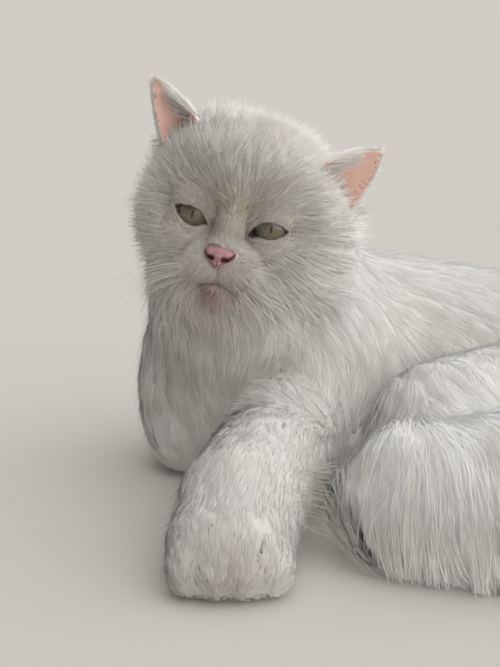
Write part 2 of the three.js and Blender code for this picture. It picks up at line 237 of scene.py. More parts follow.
# ------------------------------------------------------------------ a surface through a grid
def surface(xs, ys, zs, D):
    """Vertices and quads of the surface where D changes sign, wound to face D > 0."""
    inside = D < 0
    n = [len(xs) - 1, len(ys) - 1, len(zs) - 1]
    count = np.zeros(n, np.uint8)
    corners = [(i, j, k) for i in (0, 1) for j in (0, 1) for k in (0, 1)]
    for i, j, k in corners:
        count += inside[i:n[0] + i, j:n[1] + j, k:n[2] + k]
    mixed = (count > 0) & (count < 8)
    cell = np.argwhere(mixed)
    number = np.full(n, -1, np.int32)
    number[mixed] = np.arange(len(cell))
    I, J, K = cell.T
    val = {c: D[I + c[0], J + c[1], K + c[2]] for c in corners}
    axes = (xs, ys, zs)
    total, hits = np.zeros((len(cell), 3)), np.zeros(len(cell))
    for a in range(3):
        for c in corners:
            if c[a]:
                continue
            d = list(c)
            d[a] = 1
            va, vb = val[c], val[tuple(d)]
            cross = (va < 0) != (vb < 0)
            t = va / np.where(cross, va - vb, 1)
            for ax in range(3):
                lo = axes[ax][cell[:, ax] + c[ax]]
                p = lo + (t * (axes[ax][cell[:, ax] + 1] - lo) if ax == a else 0)
                total[:, ax] += np.where(cross, p, 0)
            hits += cross
    verts = total / hits[:, None]
    quads = []
    for a in range(3):
        u, v = (a + 1) % 3, (a + 2) % 3
        first = [slice(None)] * 3
        second = [slice(None)] * 3
        first[a], second[a] = slice(0, n[a]), slice(1, n[a] + 1)
        first[u] = second[u] = slice(1, n[u])
        first[v] = second[v] = slice(1, n[v])
        A, B = inside[tuple(first)], inside[tuple(second)]
        for flag, flip in ((A & ~B, False), (~A & B, True)):
            e = np.argwhere(flag)
            e[:, u] += 1
            e[:, v] += 1
            ring = []
            for du, dv in ((-1, -1), (0, -1), (0, 0), (-1, 0)):
                c = e.copy()
                c[:, u] += du
                c[:, v] += dv
                ring.append(number[c[:, 0], c[:, 1], c[:, 2]])
            q = np.stack(ring, 1)
            quads.append(q[:, ::-1] if flip else q)
    return verts, np.concatenate(quads)


def new_mesh(name, verts, faces, smooth_shade=True):
    """faces is an (n, 3) or (n, 4) array. verts is in modelling millimetres."""
    verts, faces = np.asarray(verts), np.asarray(faces)
    me = bpy.data.meshes.new(name)
    me.vertices.add(len(verts))
    me.vertices.foreach_set("co", out(verts).astype(f32).ravel())
    k = faces.shape[1]
    me.loops.add(len(faces) * k)
    me.loops.foreach_set("vertex_index", faces.astype(np.int32).ravel())
    me.polygons.add(len(faces))
    me.polygons.foreach_set("loop_start", np.arange(0, len(faces) * k, k, dtype=np.int32))
    me.polygons.foreach_set("loop_total", np.full(len(faces), k, np.int32))
    me.polygons.foreach_set("use_smooth", np.full(len(faces), smooth_shade))
    me.update(calc_edges=True)
    me.validate()
    ob = bpy.data.objects.new(name, me)
    bpy.context.scene.collection.objects.link(ob)
    return ob


def paint(ob, colours):
    """Linear colours for each vertex, read by the material as the attribute tint."""
    at = ob.data.color_attributes.new(name="tint", type="FLOAT_COLOR", domain="POINT")
    rgba = np.ones((len(colours), 4), f32)
    rgba[:, :3] = colours
    at.data.foreach_set("color", rgba.ravel())


# ------------------------------------------------------------------ smooth noise
NOISE_N = 24
_rng = np.random.default_rng(5)
NOISE = _rng.uniform(-1, 1, (NOISE_N, NOISE_N, NOISE_N, 3)).astype(f32)


def noise(p, size, seed=0):
    """Smooth vectors from -1 to 1 that change over about size millimetres."""
    q = np.asarray(p) / size + np.array([17.3, 5.1, 9.7]) * (seed + 1)
    i = np.floor(q).astype(int)
    f = q - i
    f = f * f * (3 - 2 * f)
    total = 0
    for a in (0, 1):
        for b in (0, 1):
            for c in (0, 1):
                w = (f[..., 0] if a else 1 - f[..., 0]) * (f[..., 1] if b else 1 - f[..., 1]) * (f[..., 2] if c else 1 - f[..., 2])
                total = total + w[..., None] * NOISE[(i[..., 0] + a) % NOISE_N, (i[..., 1] + b) % NOISE_N, (i[..., 2] + c) % NOISE_N]
    return total


# ------------------------------------------------------------------ eyes: the opening between the lids
# The lids' edges, from the eye's middle: x, z of the upper edge and of the lower one, in the head's axes.
LIDS = {
    -1: (([-10.9, 2.4], [-8.6, 3.6], [-5.8, 4.1], [-1.4, 4.2], [3.2, 3.1], [6.6, 0.7], [8.7, -3.2]),
         ([-10.9, 2.0], [-8.2, -1.9], [-4.2, -5.2], [1.2, -6.7], [5.6, -5.6], [8.7, -3.7])),
    1: (([-11.6, -5.2], [-9.8, -1.2], [-7.2, 1.7], [-3.8, 3.6], [1.8, 4.4], [6.6, 3.4], [10.0, 1.4]),
        ([-11.6, -5.8], [-8.1, -5.6], [-1.9, -4.9], [2.6, -4.5], [7.2, -2.6], [10.0, 0.9])),
}
LID_TABLE = {}
for s, (up, down) in LIDS.items():
    x = np.linspace(up[0][0], up[-1][0], 160)
    row = []
    for pts in (up, down):
        pts = np.array(pts, float)
        z = np.interp(x, pts[:, 0], pts[:, 1])
        w = np.exp(-0.5 * (np.arange(-14, 15) / 6.0) ** 2)
        padded = np.concatenate([np.linspace(z[0] * 2 - z[14], z[0], 14, endpoint=False), z, np.linspace(z[-1], z[-1] * 2 - z[-15], 15)[1:]])
        row.append(np.convolve(padded, w / w.sum(), "valid"))
    LID_TABLE[s] = (x, row[0], row[1])


def opening(s, x, z):
    """Below 0 in the opening of the eye on side s; x and z are from the eye's middle. About a distance in millimetres."""
    t, up, down = LID_TABLE[s]
    u, d = np.interp(x, t, up), np.interp(x, t, down)
    side = np.maximum(t[0] - x, x - t[-1])
    return np.maximum(np.maximum(z - u, d - z) * 0.85, side)


# ------------------------------------------------------------------ ears
EARS = {-1: ((-65.5, 27, 69), (-34.5, 17, 54), (-49, 21, 28)), 1: ((74.5, 28, 55), (41, 18, 42), (63, 22, 13.5))}


def ear_axes(side):
    tip, inner, outer = (np.array(p, float) for p in EARS[side])
    base = (inner + outer) / 2
    up, half = tip - base, (outer - inner) / 2
    across = -half if half[0] > 0 else half
    into = unit(np.cross(across, up))
    return base, up, across, into


def ear_width(w):
    return np.maximum(1 - w, 0) ** 0.8 * (1 + 0.25 * w) * smooth(-0.3, -0.1, w)


def ear_point(side, w, a, n):
    """A point of the ear in modelling millimetres: w from base to tip, a across in its own width from -1 to 1, n millimetres behind its cupped middle."""
    base, up, across, into = ear_axes(side)
    w, a = np.asarray(w, float), np.asarray(a, float)
    cup = 10 * (1 - np.minimum(a * a, 1)) * np.maximum(1 - w, 0) ** 0.7
    p = base + up * w[..., None] + across * (a * ear_width(w))[..., None] + into * (cup + n)[..., None]
    return from_head(p)


def ear_distance(side, hx, hy, hz):
    base, up, across, into = ear_axes(side)
    inv = np.linalg.inv(np.stack([up, across, into], 1)).astype(f32)
    dx, dy, dz = hx - f32(base[0]), hy - f32(base[1]), hz - f32(base[2])
    w, a, n = (inv[i, 0] * dx + inv[i, 1] * dy + inv[i, 2] * dz for i in range(3))
    long, half = np.linalg.norm(up), np.linalg.norm(across)
    width = np.maximum(ear_width(w), 1e-4)
    s = np.clip(a / width, -1, 1)
    rest = np.maximum(1 - w, 0) ** 0.7
    cup = 10 * (1 - s * s) * rest
    slope = 20 * s * rest / (np.maximum(width, 0.12) * half)
    dn = np.abs(n - cup) / np.sqrt(1 + slope * slope)
    thick = 0.95 + 1.3 * smooth(0.35, -0.25, w)
    edge = np.maximum((np.abs(a) - width) * half + thick, (w - 1) * long + thick)
    edge = np.maximum(edge, (-0.3 - w) * long)
    return np.sqrt(np.maximum(edge, 0) ** 2 + dn * dn) - thick


# ------------------------------------------------------------------ the skin, one closed surface
def steps(*runs):
    """Grid lines: runs of (start, stop, step)."""
    lines = [np.arange(a, b - 1e-6, st) for a, b, st in runs]
    return np.concatenate(lines + [[runs[-1][1]]]).astype(f32)


FINE = 1.2
xs = steps((-84, -72, 2), (-72, 88, FINE), (88, 120, 2), (120, 352, 3.2))
ys = steps((-164, -96, 2.2), (-96, -24, 3), (-24, 46, FINE), (46, 70, 2), (70, 196, 3.4))
zs = steps((-4, 30, 2.2), (30, 98, 3), (98, 236, FINE), (236, 242, 2))
S = field(xs, ys, zs, False)

b = (cut(xs, -84, 96), cut(ys, -32, 62), cut(zs, 92, 242))
X, Y, Z = grid_axes(xs[b[0]], ys[b[1]], zs[b[2]])
Z0 = Z - f32(EYE_MID[2])
hx, hy, hz = (f32(HEAD[0, i]) * X + f32(HEAD[1, i]) * Y + f32(HEAD[2, i]) * Z0 for i in range(3))
face = S[b].copy()


def mouth_line(x):
    """Height of the mouth's line in the head's axes."""
    return -33.2 - 0.05 * x * x * smooth(16, 0, np.abs(x)) - 0.05 * 80 * smooth(0, 16, np.abs(x))


front = smooth(14, 2, hy)
groove = 1.3 * np.exp(-((hx + 0.3) / 0.9) ** 2) * smooth(-34, -31, hz) * smooth(-21, -25, hz)
groove = groove + 2.4 * np.exp(-((hz - mouth_line(hx)) / 1.15) ** 2) * smooth(19, 14, np.abs(hx))
face = face + (front * groove).astype(f32)
face = face - 0.6 * front * np.exp(-((hz + 36.8) / 1.6) ** 2) * smooth(12, 5, np.abs(hx - 1)).astype(f32)     # lower lip
for s in (-1, 1):
    ex, ey, ez = hx - f32(s * EYE_X), hy - f32(EYE_Y), hz
    ball = np.sqrt(ex * ex + ey * ey + ez * ez)
    gap = opening(s, ex, ez).astype(f32)
    # folds of the lids and the hollow beside the nose
    face = face + 0.45 * np.exp(-((gap - 4.8) / 1.8) ** 2) * smooth(-1, 5, ez) * smooth(8, -2, ey) * (ball < 20)
    face = smin(face, ball - 12.75, f32(6.0))
    carve = np.maximum(np.maximum(gap, 11.0 - ball), ey + 2.5)
    face = smax(face, -carve, f32(0.9))
    ear = ear_distance(s, hx, hy, hz)
    face = smin(face, ear.astype(f32), f32(2.4))
S[b] = face
del hx, hy, hz, ball, gap, carve, ear, groove, front
# toes
b = (cut(xs, -34, 40), cut(ys, -164, -100), cut(zs, -4, 50))
X, Y, Z = grid_axes(xs[b[0]], ys[b[1]], zs[b[2]])
for c in (-10, 2, 14):
    S[b] += (2.2 * np.exp(-((X - c - 0.1 * (Y + 137)) / 1.5) ** 2) * smooth(-112, -128, Y) * smooth(2, 10, Z)).astype(f32)
S = np.maximum(S, f32(0.7) - zs[None, None, :])
note("skin field %s" % (S.shape,))
sv, sq = surface(xs, ys, zs, S)
note("skin surface: %d quads" % len(sq))


def main_body(verts, quads):
    """The largest connected surface, by passing the least vertex number along the edges."""
    label = np.arange(len(verts))
    while True:
        low = label[quads].min(1)
        new = label.copy()
        for c in range(quads.shape[1]):
            np.minimum.at(new, quads[:, c], low)
        new = new[new]
        if (new == label).all():
            break
        label = new
    names, counts = np.unique(label[quads[:, 0]], return_counts=True)
    keep = label[quads[:, 0]] == names[counts.argmax()]
    used, back = np.unique(quads[keep], return_inverse=True)
    return verts[used], back.reshape(-1, quads.shape[1]), len(names)


sv, sq, bodies = main_body(sv, sq)
note("skin: %d surfaces, kept %d quads" % (bodies, len(sq)))
skin = new_mesh("skin", sv, sq)

# ------------------------------------------------------------------ the skin's unwrap
uv = skin.data.uv_layers.new(name="OFBake")
bpy.context.view_layer.objects.active = skin
skin.select_set(True)
bpy.ops.object.mode_set(mode="EDIT")
bpy.ops.mesh.select_all(action="SELECT")
bpy.ops.uv.smart_project(angle_limit=1.15, island_margin=0.002, scale_to_bounds=True)
bpy.ops.object.mode_set(mode="OBJECT")
skin.select_set(False)
uv = skin.data.uv_layers["OFBake"]
skin_uv = np.zeros(len(skin.data.loops) * 2, f32)
uv.data.foreach_get("uv", skin_uv)
skin_uv = skin_uv.reshape(-1, 4, 2)
note("skin unwrapped")
tri = np.concatenate([sq[:, [0, 1, 2]], sq[:, [0, 2, 3]]])
tri_uv = np.concatenate([skin_uv[:, [0, 1, 2]], skin_uv[:, [0, 2, 3]]])
BVH = BVHTree.FromPolygons([tuple(v) for v in sv.tolist()], tri.tolist())
note("skin tree")


def on_skin(points):
    """For each point, the nearest point of the skin, the skin's normal there and the unwrap's place."""
    hit = [BVH.find_nearest(p) for p in points.tolist()]
    at = np.array([h[0] for h in hit])
    nor = np.array([h[1] for h in hit])
    f = np.array([h[2] for h in hit])
    A, B, C = (sv[tri[f, i]] for i in range(3))
    v0, v1, v2 = B - A, C - A, at - A
    d00, d01, d11 = (v0 * v0).sum(1), (v0 * v1).sum(1), (v1 * v1).sum(1)
    d20, d21 = (v2 * v0).sum(1), (v2 * v1).sum(1)
    den = d00 * d11 - d01 * d01 + 1e-12
    b1, b2 = (d11 * d20 - d01 * d21) / den, (d00 * d21 - d01 * d20) / den
    w = np.stack([1 - b1 - b2, b1, b2], 1)
    return at, nor, (tri_uv[f] * w[..., None]).sum(1)


# ------------------------------------------------------------------ fields that guide the hair
STEP = 2.5
gx, gy, gz = (np.arange(a, b, STEP, dtype=f32) for a, b in ((-82, 358), (-172, 202), (-6, 256)))
F = field(gx, gy, gz, True)
S2 = field(gx, gy, gz, False)
GUIDE = np.concatenate([F[..., None], S2[..., None], np.stack(np.gradient(F, STEP), -1), np.stack(np.gradient(S2, STEP), -1)], -1).astype(f32)
ORIGIN = np.array([gx[0], gy[0], gz[0]], float)
note("guide fields %s" % (F.shape,))


def sample(G, step, p):
    q = (p - ORIGIN) / step
    i = np.clip(np.floor(q).astype(int), 0, np.array(G.shape[:3]) - 2)
    f = np.clip(q - i, 0, 1)
    total = 0
    for a in (0, 1):
        for b in (0, 1):
            for c in (0, 1):
                w = (f[..., 0] if a else 1 - f[..., 0]) * (f[..., 1] if b else 1 - f[..., 1]) * (f[..., 2] if c else 1 - f[..., 2])
                total = total + w[..., None] * G[i[..., 0] + a, i[..., 1] + b, i[..., 2] + c]
    return total


def guide(p):
    """The coat's outline and the flesh as distances, and the way out of each, at points."""
    g = sample(GUIDE, STEP, p)
    return g[..., 0], g[..., 1], unit(g[..., 2:5]), unit(g[..., 5:8])


# which mass a point belongs to, and the lie of the hair there, on a coarser grid
LSTEP = 5.0
lx, ly, lz = (np.arange(a, b + LSTEP, LSTEP, dtype=f32) for a, b in ((-82, 358), (-172, 202), (-6, 256)))
PARTS = ["head", "neck", "bib", "chest", "trunk", "rump", "foreL", "pawL", "foreR", "pawR", "thighL", "shankL", "footL", "thighR", "footR", "tail"]
X, Y, Z = grid_axes(lx, ly, lz)
P = np.stack(np.broadcast_arrays(X, Y, Z), -1).astype(float)
lie = np.zeros(P.shape)
best = np.full(P.shape[:3], 1e9)
owner = np.zeros(P.shape[:3], int)
NOSE_TOP = H(0, -16, -15)
WHORL = np.array([22.0, -30.0, 58.0])     # on top of the foreleg, where the hair turns from the leg's way to the chest's
FAN = np.array([92.0, -66.0, 84.0])       # the hair of the plume spreads from here


def from_fan(v, reach):
    """The lie v, turned to spread from the fan's middle in front of it and below it."""
    q = P - FAN
    ahead = smooth(-6, 26, q @ unit([0.1, -0.6, -0.8]))
    w = (np.minimum(1.7 * np.exp(-np.linalg.norm(q, axis=-1) / reach), 1) * ahead)[..., None]
    return unit(v) * (1 - w) + unit(q) * w


for m in MASSES:
    d, t = mass_distance(m, X, Y, Z)
    d = d - (m["coat"][0] + (m["coat"][1] - m["coat"][0]) * t)
    if m["lie"] == "head":
        hp = to_head(P)
        v = unit(P - NOSE_TOP) + 0.35 * smooth(-20, -60, hp[..., 2])[..., None] * np.array([0, -0.1, -1]) \
            + 0.5 * smooth(25, 70, hp[..., 1])[..., None] * np.array([0.1, 0.3, -1])
    elif m["lie"] == "tail":
        v = 0.35 * unit(m["b"] - m["a"]) + np.array([0.1, -0.62, -0.62])
        v = from_fan(v, 75)
    else:
        v = np.broadcast_to(unit(np.array(m["lie"], float)), P.shape)
        if m["part"] in ("thighL", "shankL"):
            v = from_fan(v, 55)
    if m["part"] in ("foreL", "bib", "chest"):
        near_w = np.exp(-(np.linalg.norm((P - WHORL - np.array([0, 10, 0])) / np.array([34, 30, 26]), axis=-1)) ** 4)[..., None]
        phi = np.radians(145) * smooth(WHORL[1] - 20, WHORL[1] + 20, P[..., 1] + 0.35 * (P[..., 0] - WHORL[0]))[..., None]
        turned = np.cos(phi) * unit([-0.27, -1, -0.25]) + np.sin(phi) * unit([-1, 0.27, 0.35])
        v = unit(v) * (1 - near_w) + turned * near_w
    w = np.exp(-np.clip(d, -6, 60) / 6)
    lie += w[..., None] * unit(v)
    near = d < best
    best = np.where(near, d, best)
    owner = np.where(near, PARTS.index(m["part"]), owner)
LIE = unit(lie).astype(f32)
note("lie of the coat")


def lie_at(p, nor):
    """The lie of the hair along the surface whose normal is nor."""
    v = sample(LIE, LSTEP, p)
    # round the eyes the hair turns aside and doesn't run over them
    hp = to_head(p)
    hv = v @ HEAD
    for s in (-1, 1):
        c = np.array([s * EYE_X, 0, -0.5])
        d = hp - c
        flat = np.stack([d[..., 0], np.zeros_like(d[..., 0]), d[..., 2] * 1.5], -1)
        r = np.linalg.norm(flat, axis=-1)
        away = unit(np.stack([d[..., 0], np.zeros_like(d[..., 0]), d[..., 2] * 1.9], -1))
        w = (smooth(24, 11, r) * smooth(22, 8, hp[..., 1]))[..., None]
        toward = np.minimum((hv * away).sum(-1, keepdims=True), 0.12)
        hv = hv - w * (toward - 0.12) * away
    v = hv @ HEAD.T
    v = v - (v * nor).sum(-1, keepdims=True) * nor
    return unit(v)


def part_of(p):
    i = np.clip(np.round((p - ORIGIN) / LSTEP).astype(int), 0, np.array(owner.shape) - 1)
    return owner[i[:, 0], i[:, 1], i[:, 2]]


NOSE_X = -1.1


def nose_half(z):
    """Half the width of the nose leather at a height in the head's axes."""
    return np.interp(z, [-24.3, -24.1, -23.5, -22.5, -21.5, -20.5, -19.5, -18.4, -16.8, -15, -13.6, -12.8, -12.5],
                     [0, 0.5, 1.7, 3.0, 4.4, 6.1, 7.7, 8.9, 9.3, 8.7, 7.0, 4.4, 0])


# ------------------------------------------------------------------ markings with painted light and shade, the same for skin and coat
WHITE = np.array([0.885, 0.868, 0.828])


def blob(hp, c, r):
    d = (hp - np.array(c, float)) / np.array(r, float)
    return np.exp(-(d * d).sum(-1))


def markings_and_painted_light(p, hair=True):
    """Linear colour at points of the skin, of the hair there or of the skin itself: the coat's markings, with painted
    shade and painted light laid over them.
    """
    hp = to_head(p)
    c = np.broadcast_to(WHITE, p.shape).copy()

    def mix(colour, amount):
        nonlocal c
        a = np.clip(amount, 0, 1)[..., None]
        c = c * (1 - a) + np.array(colour) * a

    head = smooth(62, 50, np.linalg.norm(hp - np.array([0, 20, 0]), axis=-1))
    n = noise(p, 34, 2)
    mix((0.78, 0.74, 0.66), 0.22 * np.clip(n[..., 0] * 2, 0, 1))
    # painted shade: the front of the face darker and warmer, less so on the cat's left, the side the window light falls
    # on
    mix((0.62, 0.60, 0.565), head * 0.42 * smooth(46, 10, hp[..., 0]) * smooth(26, 2, hp[..., 1]) * smooth(44, 20, hp[..., 2] + 0.35 * hp[..., 0]))
    # painted shade: the top of the chest under the chin, darker and warm
    d = (p - np.array([4, 6, 92])) / np.array([46, 34, 26])
    mix((0.46, 0.415, 0.35), 0.75 * np.exp(-(d * d).sum(-1)) * (1 - head))
    d = (p - np.array([0, 4, 50])) / np.array([40, 30, 30])
    mix((0.66, 0.63, 0.56), 0.35 * np.exp(-(d * d).sum(-1)))
    # painted shade: the front of the outstretched forepaw, turned away from the light, darker
    d = (p - np.array([2, -136, 14])) / np.array([26, 30, 22])
    mix((0.55, 0.51, 0.46), 0.70 * np.exp(-(d * d).sum(-1)))
    # painted light: the cat's left cheek and ruff, on the window side, lighter
    mix((0.95, 0.94, 0.92), 0.7 * blob(hp, (58, 30, -20), (24, 34, 36)))
    # painted light: the front of the tail's plume, lighter
    mix((0.95, 0.94, 0.91), 0.8 * smooth(-20, -60, p[..., 1]) * smooth(80, 110, p[..., 0]))
    mix((0.60, 0.55, 0.54), head * 0.55 * blob(hp, (14, 4, 18), (11, 14, 8)))
    mix((0.62, 0.57, 0.52), head * 0.45 * blob(hp, (8, 12, 42), (12, 14, 9)))
    streak = 0.55 + 0.45 * np.sin(hp[..., 0] * 2.1 + 0.8 * np.sin(hp[..., 2] * 0.35))
    mix((0.74, 0.63, 0.42), head * 0.75 * streak * blob(hp, (0, 0, 5), (9, 12, 10)))
    mix((0.40, 0.35, 0.31), head * 0.70 * blob(hp, (-4, -6, -6.5), (6, 9, 3.6)))
    mix((0.42, 0.37, 0.34), head * 0.55 * blob(hp, (4.5, -6, -7.5), (5, 9, 3.6)))
    mix((0.64, 0.56, 0.51), head * 0.55 * blob(hp, (0, -8, -30), (16, 14, 10)))
    mix((0.50, 0.31, 0.30), head * 0.80 * blob(hp, (-0.5, -8, -39.5), (7.5, 14, 6)))
    mix((0.30, 0.19, 0.13), head * 0.70 * blob(hp, (10.5, 2, -7), (3.6, 9, 2.6)))
    mix((0.34, 0.24, 0.18), head * 0.55 * blob(hp, (-11.5, 2, -5), (3.0, 9, 2.6)))
    for s in (-1, 1):
        gap = opening(s, hp[..., 0] - s * EYE_X, hp[..., 2])
        near = smooth(20, 15, np.linalg.norm(hp - np.array([s * EYE_X, EYE_Y, 0]), axis=-1)) * smooth(9, 4, hp[..., 1])
        mix((0.46, 0.39, 0.34), (0.30 if hair else 0.55) * near * smooth(3.0, 0.8, gap))
        if not hair:
            corner = smooth(5, 11, np.abs(hp[..., 0] - s * EYE_X))
            above = smooth(-0.5, 2.5, hp[..., 2])
            mix((0.050, 0.033, 0.030), (0.38 + 0.55 * np.maximum(corner, 0.8 * above)) * near * smooth(1.2, 0.5, gap))
    return c


# ------------------------------------------------------------------ growing hair
rng = np.random.default_rng(11)
RING_WIDTH = {2: (1.0, 0.80), 1: (1.0,)}
RIM = ((-0.5, 0.12, -0.75, 0.66), (0.5, 0.12, 0.75, 0.66), (0.0, -0.30, 0.0, -1.0))


def strand_mesh(name, rows, material):
    """Closed three-sided strands, pointed at root and tip, in one mesh: a flat upper side and two sides below.
    Each has its own small patch of the unwrap. A row holds curve (n, 3 or 4, 3), normal of the same shape, width,
    uv, colour, soft (how far the shading follows the coat and not the strand), keel (the same for its lower edge,
    as a part of soft), flat and root_tone (painted shade: how much darker, and warmer, each strand is painted at its
    root)."""
    V, Fc, UV, C, N = [], [], [], [], []
    base = 0
    for r in rows:
        curve, w = r["curve"], r["width"]
        n = len(curve)
        if not n:
            continue
        k = curve.shape[1] - 2                       # rings between the ends
        nor = r["normal"]
        if nor.ndim == 2:
            nor = np.repeat(nor[:, None], k + 2, 1)
        soft = np.broadcast_to(r.get("soft", 0.85), n)[:, None, None]
        keel = np.broadcast_to(r.get("keel", 0.35), n)[:, None, None]
        flat = r.get("flat", 1.0)
        tangent = unit(np.gradient(curve, axis=1))
        m = curve.shape[1] // 2
        bi = np.zeros(curve.shape)                   # the way across, carried along the strand without a twist
        bi[:, m] = unit(np.cross(tangent[:, m], nor[:, m]))
        for j, prev in [(j, j - 1) for j in range(m + 1, k + 2)] + [(j, j + 1) for j in range(m - 1, -1, -1)]:
            bi[:, j] = unit(bi[:, prev] - (bi[:, prev] * tangent[:, j]).sum(-1, keepdims=True) * tangent[:, j])
        up = unit(np.cross(bi, tangent))
        ww = w[:, None] * np.array(r["shape"] if "shape" in r else RING_WIDTH[k])
        mid_c, mid_b, mid_u = curve[:, 1:-1], bi[:, 1:-1], up[:, 1:-1]
        ring, radial, hold = [], [], []
        for cb, cu, rb, ru in RIM:
            ring.append(mid_c + mid_b * (ww * cb)[..., None] + mid_u * (ww * cu * flat)[..., None])
            radial.append(mid_b * rb + mid_u * ru)
            hold.append(np.broadcast_to(soft * (keel if ru < 0 else 1.0), (n, k, 1)))
        verts = np.concatenate([curve[:, :1], np.stack(ring, 2).reshape(n, k * 3, 3), curve[:, -1:]], 1)
        radial = np.concatenate([up[:, :1], np.stack(radial, 2).reshape(n, k * 3, 3), up[:, -1:]], 1)
        ends = np.broadcast_to(soft, (n, 1, 1))
        hold = np.concatenate([ends, np.stack(hold, 2).reshape(n, k * 3, 1), ends], 1)
        verts[..., 2] = np.maximum(verts[..., 2], 0.2)                       # nothing dips into the floor
        coat_n = np.concatenate([nor[:, :1], np.repeat(nor[:, 1:-1], 3, 1), nor[:, -1:]], 1)
        shade = unit(radial * (1 - hold) + coat_n * hold)
        f = []
        for a in range(3):
            b2 = (a + 1) % 3
            f.append((0, 1 + b2, 1 + a))
            for j in range(k - 1):
                f += [(1 + 3 * j + a, 1 + 3 * j + b2, 4 + 3 * j + b2), (1 + 3 * j + a, 4 + 3 * j + b2, 4 + 3 * j + a)]
            f.append((1 + 3 * (k - 1) + a, 1 + 3 * (k - 1) + b2, 3 * k + 1))
        f = np.array(f)
        vn = 3 * k + 2
        faces = (f[None] + (base + np.arange(n) * vn)[:, None, None]).reshape(-1, 3)
        base += n * vn
        wide = np.concatenate([[0], np.tile([-1, 1, 0], k), [0]]) * 0.0015
        high = np.concatenate([[-0.0015], np.repeat(np.linspace(-0.0006, 0.0006, k), 3), [0.0015]])
        V.append(verts.reshape(-1, 3))
        Fc.append(faces)
        UV.append((r["uv"][:, None, :] + np.stack([wide, high], 1)[None])[:, f].reshape(-1, 2))
        N.append(shade[:, f].reshape(-1, 3))
        # painted shade: each strand is painted darker and warmer towards its root, where it lies deep in the coat under
        # the other hair
        lo = r.get("root_tone", 0.92)
        fade = np.concatenate([[lo * 0.97], np.repeat(np.linspace((1 + lo) / 2 if k == 1 else lo, 1.0, k), 3), [1.0]])
        root_shade = 1 - (1 - fade)[:, None] * np.array([0.7, 1.0, 1.5])
        C.append((r["colour"][:, None, :] * root_shade[None]).reshape(-1, 3))
    V, Fc, UV, C, N = (np.concatenate(a) for a in (V, Fc, UV, C, N))
    ob = new_mesh(name, V, Fc)
    lay = ob.data.uv_layers.new(name="OFBake")
    lay.data.foreach_set("uv", np.clip(UV, 0, 1).astype(f32).ravel())
    paint(ob, C)
    at = ob.data.attributes.new("custom_normal", "FLOAT_VECTOR", "CORNER")
    at.data.foreach_set("vector", N.astype(f32).ravel())
    ob.data.update()
    ob.data.materials.append(material)
    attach(ob, "root")
    return ob


# ------------------------------------------------------------------ materials
def principled(name):
    m = bpy.data.materials.new(name)
    m.use_nodes = True
    return m, m.node_tree, m.node_tree.nodes["Principled BSDF"]


def node(nt, kind, **values):
    n = nt.nodes.new(kind)
    for k, v in values.items():
        if k in n.inputs:
            n.inputs[k].default_value = v
        else:
            setattr(n, k, v)
    return n


def fur_material(name, rough=0.62, vary=0.08, size=55.0, sheen=0.08, through=0.2, gloss=0.1):
    m, nt, b = principled(name)
    b.inputs["Roughness"].default_value = rough
    b.inputs["Specular IOR Level"].default_value = gloss
    b.inputs["Sheen Weight"].default_value = sheen
    b.inputs["Sheen Roughness"].default_value = 0.5
    b.inputs["Subsurface Weight"].default_value = through
    b.inputs["Subsurface Radius"].default_value = (1.0, 0.92, 0.80)
    b.inputs["Subsurface Scale"].default_value = 0.002
    at = node(nt, "ShaderNodeAttribute", attribute_name="tint")
    co = node(nt, "ShaderNodeTexCoord")
    n1 = node(nt, "ShaderNodeTexNoise", Scale=size, Detail=3.0, Roughness=0.6)
    nt.links.new(co.outputs["Object"], n1.inputs["Vector"])
    mr = node(nt, "ShaderNodeMapRange")
    mr.inputs["From Min"].default_value = 0.3
    mr.inputs["From Max"].default_value = 0.7
    mr.inputs["To Min"].default_value = 1 - vary
    mr.inputs["To Max"].default_value = 1 + vary * 0.6
    nt.links.new(n1.outputs["Fac"], mr.inputs["Value"])
    mul = node(nt, "ShaderNodeVectorMath", operation="MULTIPLY")
    nt.links.new(at.outputs["Color"], mul.inputs[0])
    nt.links.new(mr.outputs["Result"], mul.inputs[1])
    nt.links.new(mul.outputs["Vector"], b.inputs["Base Color"])
    return m, nt, b


coat_mat, _, _ = fur_material("coat_long")
under_mat, _, _ = fur_material("coat_under", rough=0.85, sheen=0.0)
ear_mat, _, _ = fur_material("coat_ear")
skin_mat, nt, bsdf = fur_material("skin_coat", rough=0.75, vary=0.10, sheen=0.1, through=0.25, gloss=0.2)
n2 = node(nt, "ShaderNodeTexNoise", Scale=900.0, Detail=4.0, Roughness=0.65)
co = node(nt, "ShaderNodeTexCoord")
nt.links.new(co.outputs["Object"], n2.inputs["Vector"])
bump = node(nt, "ShaderNodeBump", Strength=0.5, Distance=0.0004)
nt.links.new(n2.outputs["Fac"], bump.inputs["Height"])
nt.links.new(bump.outputs["Normal"], bsdf.inputs["Normal"])

# ------------------------------------------------------------------ skin colours
skin_col = markings_and_painted_light(sv, hair=False)
hp = to_head(sv)
for s in (-1, 1):
    base, up, across, into = ear_axes(s)
    inv = np.linalg.inv(np.stack([up, across, into], 1))
    w, a, n = ((hp - base) @ inv.T).T
    width = np.maximum(ear_width(w), 1e-3)
    ss = a / width
    cup = 10 * (1 - np.minimum(ss * ss, 1)) * np.maximum(1 - w, 0) ** 0.7
    # the pink inside the ears, partly painted light: paler and brighter than the skin's own pink, standing in for light
    # shining through the thin ear; darker towards the base
    inside = smooth(0.4, -0.4, n - cup) * smooth(-0.14, 0.02, w) * smooth(1.05, 0.9, w) * smooth(1.06, 0.86, np.abs(ss)) * (np.abs(n - cup) < 4.5)
    c = np.array([0.90, 0.58, 0.49])
    deep = np.array([0.80, 0.40, 0.32])
    k = (0.92 * inside)[:, None]
    d = smooth(0.5, 0.0, w)[:, None]
    skin_col = skin_col * (1 - k) + (c * (1 - d) + deep * d) * k
